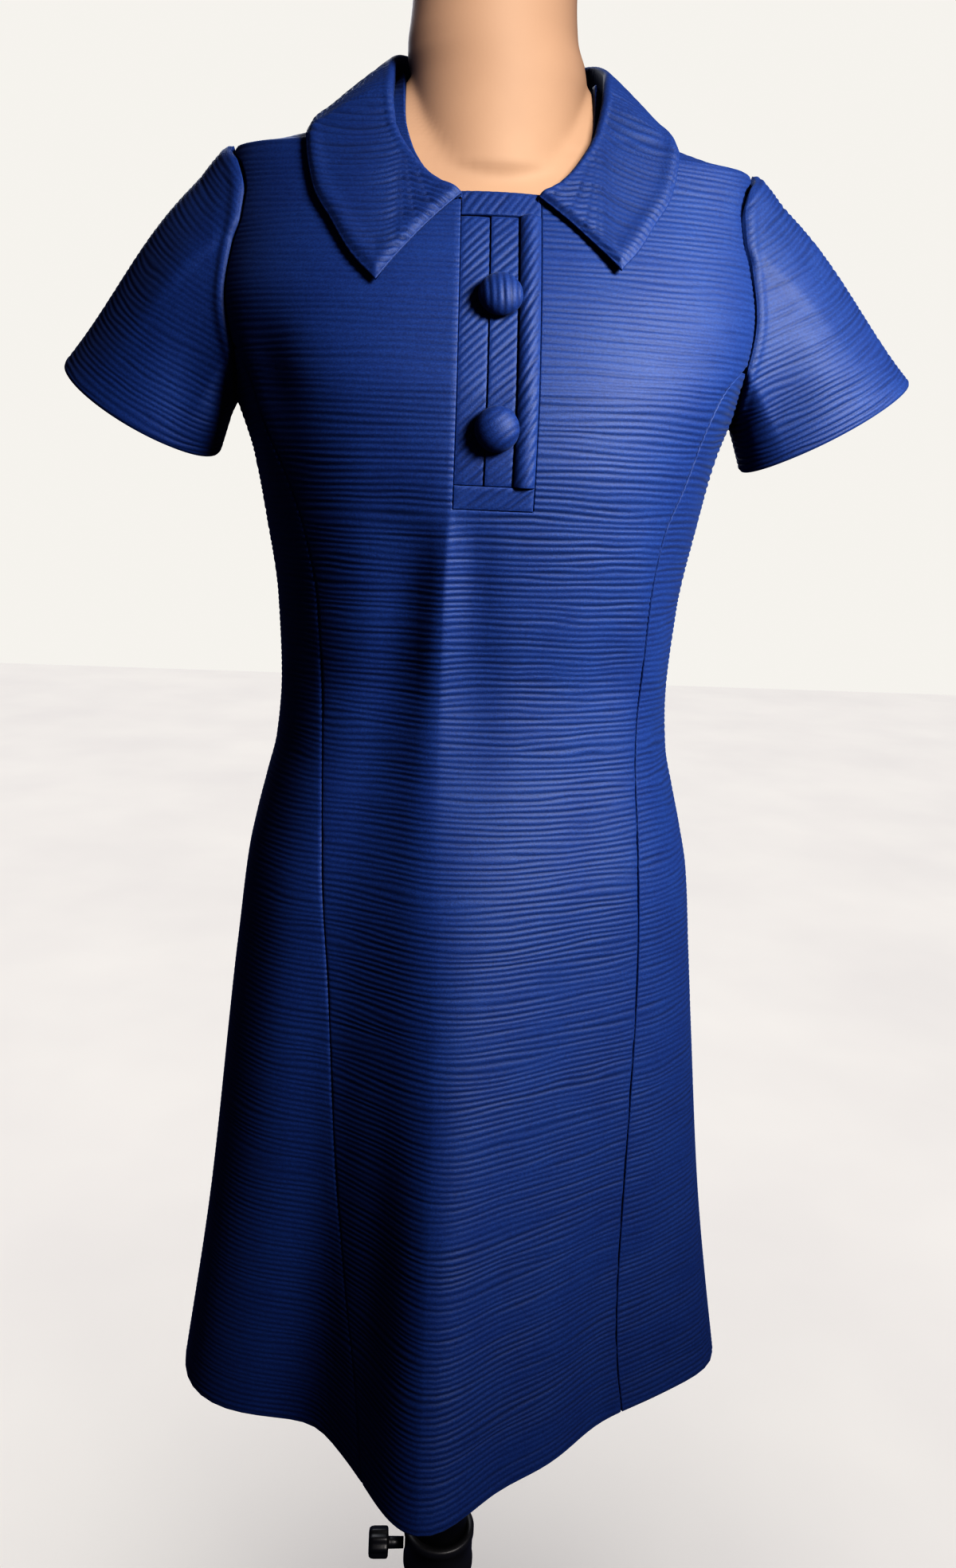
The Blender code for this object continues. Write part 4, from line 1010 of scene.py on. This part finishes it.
def make_buttons(cloth):
    radius, rise = np.array(button_profile()).T[..., None]
    for name, height, way, depth in BUTTONS:
        turn = turn_of_x(BUTTON_X, height)
        along, normal = directions(turn, height)
        seat = on_body(turn, height, SEAM_GAP)
        up = np.cross(normal, along)
        angle = np.linspace(0, 2 * math.pi, ROUND_BUTTON, endpoint=False)
        a, b = radius * np.cos(angle), radius * np.sin(angle)
        way = math.radians(way)
        over = b * math.cos(way) - a * math.sin(way)
        run = a * math.cos(way) + b * math.sin(way)
        top = rise > SHANK_HEIGHT + BUTTON_RIM * 0.9
        groove = ribs(run + 13 + height * 10, over + 5.0, 0.5) * top
        proud = rise - depth * 1.6 * groove
        points = seat + a[..., None] * along + b[..., None] * up + proud[..., None] * normal
        faces = ring_faces(*a.shape)
        # Painted shade: the grooves of the button's cover are coloured darker.
        piece = add_mesh(f"{name}_cover", points, faces, cloth, rib_painted_shade=1 - groove.ravel() * 0.9)
        place(piece, name)


# ---------------------------------------------------------------- form and stand

def ring_faces(rows, around, closed=False):
    """The faces of a stack of rings, which ends in flat faces or closes on its first ring."""
    faces = []
    for i in range(rows if closed else rows - 1):
        low, high = i * around, (i + 1) % rows * around
        for j in range(around):
            k = (j + 1) % around
            faces.append((low + j, low + k, high + k, high + j))
    if not closed:
        faces.append(tuple(reversed(range(around))))
        faces.append(tuple((rows - 1) * around + j for j in range(around)))
    return faces


def form_radius(angle, height):
    """How far the form reaches from its axis, its torso and neck run together."""
    s, c = np.abs(np.sin(angle)), np.cos(angle)
    at = np.minimum(height + FORM_DROP, NECK_POINT)
    half_width = SECTION["half_width"](at) - CLEAR["side"](height)
    depth = depth_at(c > 0, at) - CLEAR["depth"](height)
    power = SECTION["power"](at)
    torso = ((s / half_width) ** power + (np.abs(c) / depth) ** power) ** (-1 / power)
    torso = np.where(height + FORM_DROP < NECK_POINT, torso, 0.0)
    deeper = np.clip((DEPTH_FLARE_TOP - height) / (DEPTH_FLARE_TOP - FRONT_NECK), 0, None)
    wider = grown(height, SIDE_FLARE_TOP, SIDE_FLARE_FOOT - SIDE_FLARE_TOP)
    half_width = NECK_HALF_WIDTH + SIDE_FLARE * wider**2
    depth = NECK_HALF_DEPTH + DEPTH_FLARE * deeper**2 + np.where(c > 0, NECK_FORWARD, -NECK_FORWARD)
    neck = ((s / half_width) ** 2 + (np.abs(c) / depth) ** 2) ** -0.5
    neck = neck * np.clip(0.6 + 0.4 * (height - NECK_START) / 0.05, 0, 1)
    both = (torso**NECK_MEETS + neck**NECK_MEETS) ** (1 / NECK_MEETS)
    return np.where(height < NECK_START, torso, both)


def make_form(skin):
    above, bottom_inset = np.transpose(FORM_BOTTOM_EDGE)
    below, top_inset = np.transpose(FORM_TOP_EDGE)
    heights = np.concatenate([
        FORM_BOTTOM + above,
        np.arange(0.825, 1.33, 0.010),
        np.arange(1.332, 1.47, 0.0025),
        np.arange(1.474, FORM_TOP - 0.008, 0.006),
        FORM_TOP - below,
    ])
    inset = np.zeros(len(heights))
    inset[: len(above)] = bottom_inset
    inset[-len(below):] = top_inset
    angle = np.linspace(0, 2 * math.pi, ROUND_FORM, endpoint=False)
    flat = np.clip(SECTION["front"](heights) / SECTION["half_width"](heights), 0.3, None)[:, None]
    direction = np.arctan2(np.sin(angle), np.cos(angle) * flat)
    tall = heights[:, None] + 0 * direction
    radius = form_radius(direction, tall) - inset[:, None]
    lean = grown(tall, NECK_LEAN_START, NECK_LEAN_END - NECK_LEAN_START)
    lean = NECK_LEAN * lean * lean * (3 - 2 * lean)
    points = np.stack([radius * np.sin(direction) - lean, -radius * np.cos(direction), tall], -1)
    place(add_mesh("form_shell", points, ring_faces(*tall.shape), skin), "form")


def turned(name, profile, around, middle, axes, material, flute=None, closed=False):
    """A turned piece from (radius, along) rows; flute(angle, row) changes the radius."""
    one, two, axis = np.array(axes, float)
    angle = np.linspace(0, 2 * math.pi, around, endpoint=False)
    points = []
    for row, (radius, along) in enumerate(profile):
        r = radius * (flute(angle, row) if flute else 1.0)
        ring = np.outer(r * np.cos(angle), one) + np.outer(r * np.sin(angle), two)
        points.append(np.array(middle) + ring + axis * along)
    return add_mesh(name, np.array(points), ring_faces(len(profile), around, closed), material)


def make_foot_and_pole(metal):
    foot = [
        (FOOT_RADIUS - 0.0030, 0.0), (FOOT_RADIUS - 0.0008, 0.0008), (FOOT_RADIUS, 0.0026),
        (FOOT_RADIUS, 0.0078), (FOOT_RADIUS - 0.0008, 0.0092), (FOOT_RADIUS - 0.0030, 0.0104),
        (0.150, 0.0132), (0.120, 0.0168), (0.085, 0.0200), (0.052, 0.0226), (0.047, 0.0234),
        (0.0445, 0.0238), (0.030, FOOT_HEIGHT), (0.010, FOOT_HEIGHT),
    ]
    place(turned("foot_plate", foot, 128, (0, 0, 0), UPRIGHT, metal), "foot")
    bottom, top = FOOT_HEIGHT + SEAM_GAP, FORM_BOTTOM - SEAM_GAP
    pole = [
        (0.020, bottom), (POLE_RADIUS, bottom), (POLE_RADIUS, 0.30), (POLE_RADIUS, 0.60),
        (POLE_RADIUS, top - 0.0009), (POLE_RADIUS - 0.001, top), (0.018, top),
    ]
    place(turned("pole_tube", pole, 72, (0, 0, 0), UPRIGHT, metal), "pole")


def make_clamp_and_knob(plastic, rubber):
    inner = POLE_RADIUS + SEAM_GAP
    outer = inner + CLAMP_WALL
    half = CLAMP_TALL / 2
    edge = [
        (inner, half), (outer - 0.0020, half), (outer - 0.0006, half - 0.0006), (outer, half - 0.0020),
        (outer, half - 0.0080), (outer - 0.0010, half - 0.0090),
    ]
    ring = [(radius, -along) for radius, along in edge] + edge[::-1]
    clamp = turned("clamp_ring", ring, 72, (0, 0, CLAMP_HEIGHT), UPRIGHT, plastic, closed=True)
    place(clamp, "clamp")
    knob = [(0.0048, SEAM_GAP), (0.0050, 0.0120), (0.0050, KNOB_REACH * 0.44)]
    for radius, along in KNOB_GRIP:
        knob.append((KNOB_RADIUS * radius, KNOB_REACH * along))
    knob.append((0.003, KNOB_REACH * 0.985))

    def grip(turn, row):
        return 1 + (0.045 * np.cos(turn * 9) - 0.03 if row > 2 else 0)

    middle = (-outer, 0, CLAMP_HEIGHT)
    place(turned("knob_grip", knob, 90, middle, TO_WEARERS_RIGHT, rubber, grip), "knob")


# ---------------------------------------------------------------- materials

def node_material(name):
    material = bpy.data.materials.new(name)
    material.use_nodes = True
    tree = material.node_tree
    return material, tree, tree.nodes["Principled BSDF"]


def add(tree, kind, **settings):
    node = tree.nodes.new(kind)
    for key, value in settings.items():
        if key in node.inputs:
            node.inputs[key].default_value = value
        else:
            setattr(node, key, value)
    return node


def noise(tree, scale, detail, roughness=0.5):
    """Noise that stays with the piece."""
    where = tree.nodes.new("ShaderNodeTexCoord")
    texture = add(tree, "ShaderNodeTexNoise", Scale=scale, Detail=detail, Roughness=roughness)
    tree.links.new(where.outputs["Object"], texture.inputs["Vector"])
    return texture.outputs["Fac"]


def ramp(tree, source, stops):
    node = tree.nodes.new("ShaderNodeValToRGB")
    while len(node.color_ramp.elements) < len(stops):
        node.color_ramp.elements.new(0.5)
    for element, (position, colour) in zip(node.color_ramp.elements, stops):
        element.position = position
        element.color = (*colour, 1)
    tree.links.new(source, node.inputs["Fac"])
    return node.outputs["Color"]


def multiplied(tree, one, two):
    mix = add(tree, "ShaderNodeMix", data_type="RGBA", blend_type="MULTIPLY")
    mix.inputs[0].default_value = 1.0
    tree.links.new(one, mix.inputs[6])
    tree.links.new(two, mix.inputs[7])
    return mix.outputs[2]


def bumped(tree, shader, height, strength, distance):
    bump = add(tree, "ShaderNodeBump", Strength=strength, Distance=distance)
    tree.links.new(height, bump.inputs["Height"])
    tree.links.new(bump.outputs["Normal"], shader.inputs["Normal"])


def set_inputs(node, values):
    for name, value in values.items():
        node.inputs[name].default_value = value


def clouded(name, stops, scale, detail, roughness=0.5):
    """A material whose colour goes softly between two, and the noise that it follows."""
    material, tree, shader = node_material(name)
    cloud = noise(tree, scale, detail, roughness)
    tree.links.new(ramp(tree, cloud, stops), shader.inputs["Base Color"])
    return material, tree, shader, cloud


def knit_material():
    material, tree, shader = node_material("ribbed_knit")
    rib_painted_shade = add(tree, "ShaderNodeAttribute", attribute_name="rib_painted_shade").outputs["Fac"]
    # Painted shade: the cloth's colour is darker down in the grooves between the ribs and lighter on their
    # crests, from the attribute that gives each point's place on the ribs.
    colour = ramp(tree, rib_painted_shade, (
        (0.0, (0.0042, 0.0152, 0.058)),
        (0.6, (0.0062, 0.0220, 0.082)),
        (1.0, (0.0080, 0.0262, 0.094)),
    ))
    stitch = noise(tree, 900.0, 2.0, 0.6)
    grain = ramp(tree, stitch, ((0.30, (0.72, 0.72, 0.76)), (0.70, (1.22, 1.22, 1.18))))
    patch = noise(tree, 26.0, 3.0, 0.55)
    fade = ramp(tree, patch, ((0.30, (0.90, 0.91, 0.95)), (0.75, (1.08, 1.07, 1.04))))
    colour = multiplied(tree, multiplied(tree, colour, grain), fade)
    tree.links.new(colour, shader.inputs["Base Color"])
    bumped(tree, shader, noise(tree, 1500.0, 2.0, 0.7), 0.45, 0.0004)
    set_inputs(shader, {
        "Roughness": 0.60,
        "Specular IOR Level": 0.24,
        "Sheen Weight": 0.045,
        "Sheen Roughness": 0.5,
        "Sheen Tint": (0.70, 0.80, 1.0, 1),
    })
    return material


def skin_material():
    stops = ((0.35, (0.33, 0.225, 0.160)), (0.70, (0.37, 0.255, 0.180)))
    material, tree, shader, _ = clouded("form_shell", stops, 9.0, 4.0)
    bumped(tree, shader, noise(tree, 420.0, 2.0), 0.06, 0.0004)
    set_inputs(shader, {"Roughness": 0.60, "Specular IOR Level": 0.18})
    return material


def black_material(name, base, roughness, metallic, grain):
    dark, light = (tuple(v * share for v in base) for share in (0.75, 1.5))
    material, tree, shader, cloud = clouded(name, ((0.35, dark), (0.75, light)), 14.0, 5.0, 0.6)
    rough = ramp(tree, cloud, ((0.3, (roughness - 0.06,) * 3), (0.8, (roughness + 0.08,) * 3)))
    tree.links.new(rough, shader.inputs["Roughness"])
    bumped(tree, shader, noise(tree, grain, 2.0), 0.12, 0.0005)
    set_inputs(shader, {"Metallic": metallic})
    return material


# ---------------------------------------------------------------- stage

def make_stage():
    stops = ((0.3, (0.71, 0.68, 0.62)), (0.7, (0.75, 0.72, 0.65)))
    material, _, shader, _ = clouded("pale_floor", stops, 2.0, 3.0)
    set_inputs(shader, {"Roughness": 0.9})
    corners = np.array([(-1, -1, 0), (1, -1, 0), (1, 1, 0), (-1, 1, 0)]) * FLOOR_HALF
    floor = add_mesh("floor", corners, [(0, 1, 2, 3)], material, smooth=False)
    floor.visible_diffuse = False
    floor.visible_glossy = False
    return floor


def add_light(name, kind, power, things, state):
    """A light that is linked to these things alone (INCLUDE) or to all but these (EXCLUDE)."""
    group = bpy.data.collections.new(f"{name}_things")
    for thing in things:
        group.objects.link(thing)
    for entry in group.collection_objects:
        entry.light_linking.link_state = state
    data = bpy.data.lights.new(name, kind)
    data.energy = power
    light = bpy.data.objects.new(name, data)
    light.light_linking.receiver_collection = group
    bpy.context.scene.collection.objects.link(light)
    return light


def make_lights(floor):
    form = bpy.data.objects["form_shell"]
    sources = (
        ("window", (0.96, -1.06, 1.84), (0.05, 0.0, 1.10), 0.62, 10.6, (1.0, 0.95, 0.92), 60,
         (floor, form), "EXCLUDE"),
        ("window_on_form", (0.48, -1.55, 1.90), (0.0, 0.0, 1.25), 1.10, 22, (1.0, 0.95, 0.88), 120,
         (form,), "INCLUDE"),
        ("behind", (-0.5, 2.0, 2.3), (0.0, 0.0, 1.1), 1.2, 14, (0.94, 0.96, 1.0), 140,
         (floor,), "EXCLUDE"),
    )
    for name, spot, target, size, power, colour, spread_by, things, state in sources:
        light = add_light(name, "AREA", power, things, state)
        light.location = spot
        light.rotation_euler = (Vector(target) - Vector(spot)).to_track_quat("-Z", "Y").to_euler()
        light.data.shape = "DISK"
        light.data.size = size
        light.data.color = colour
        light.data.spread = math.radians(spread_by)
    # The floor has a broad light of its own, so that it is as pale far off as round the stand.
    add_light("floor_light", "SUN", 2.15, (floor,), "INCLUDE").data.angle = math.radians(70)


def make_room():
    """A dim blue room, seen by the camera as plain and pale, and the picture's contrast."""
    world = bpy.data.worlds.new("room")
    world.use_nodes = True
    tree = world.node_tree
    light = tree.nodes["Background"]
    set_inputs(light, {"Color": (0.42, 0.46, 0.90, 1), "Strength": 0.12})
    seen = add(tree, "ShaderNodeBackground", Color=(0.55, 0.54, 0.52, 1), Strength=1.0)
    path = tree.nodes.new("ShaderNodeLightPath")
    mix = tree.nodes.new("ShaderNodeMixShader")
    for socket, source in enumerate((path.outputs["Is Camera Ray"], light.outputs[0], seen.outputs[0])):
        tree.links.new(source, mix.inputs[socket])
    tree.links.new(mix.outputs[0], tree.nodes["World Output"].inputs["Surface"])
    scene = bpy.context.scene
    scene.world = world
    scene.view_settings.view_transform = "Standard"
    scene.view_settings.look = "Very High Contrast"


def make_camera():
    """The camera stands back from the dress, turned, tipped down and rolled as the photograph's was."""
    yaw, pitch, roll = (math.radians(v) for v in (CAMERA_YAW, CAMERA_PITCH, CAMERA_ROLL))
    data = bpy.data.cameras.new("camera")
    data.sensor_fit = "VERTICAL"
    data.sensor_height = CAMERA_SENSOR
    data.lens = CAMERA_LENS
    camera = bpy.data.objects.new("camera", data)
    camera.matrix_world = (
        Matrix.Rotation(-yaw, 4, "Z")
        @ Matrix.Translation((CAMERA_SIDE, -CAMERA_BACK, CAMERA_HEIGHT))
        @ Matrix.Rotation(math.pi / 2 - pitch, 4, "X")
        @ Matrix.Rotation(roll, 4, "Z")
    )
    bpy.context.scene.collection.objects.link(camera)
    bpy.context.scene.camera = camera


def main():
    make_camera()
    cloth = knit_material()
    make_panels(cloth)
    for side, cuff_shape in SLEEVES.items():
        make_sleeve(side, cuff_shape, cloth)
    make_collar(cloth)
    make_placket(cloth)
    make_buttons(cloth)
    make_form(skin_material())
    make_foot_and_pole(black_material("powder_coat", (0.012, 0.012, 0.014), 0.38, 0.5, 700.0))
    plastic = black_material("moulded_black", (0.014, 0.014, 0.015), 0.50, 0.0, 500.0)
    rubber = black_material("knob_black", (0.010, 0.010, 0.011), 0.45, 0.0, 600.0)
    make_clamp_and_knob(plastic, rubber)
    make_lights(make_stage())
    make_room()


main()
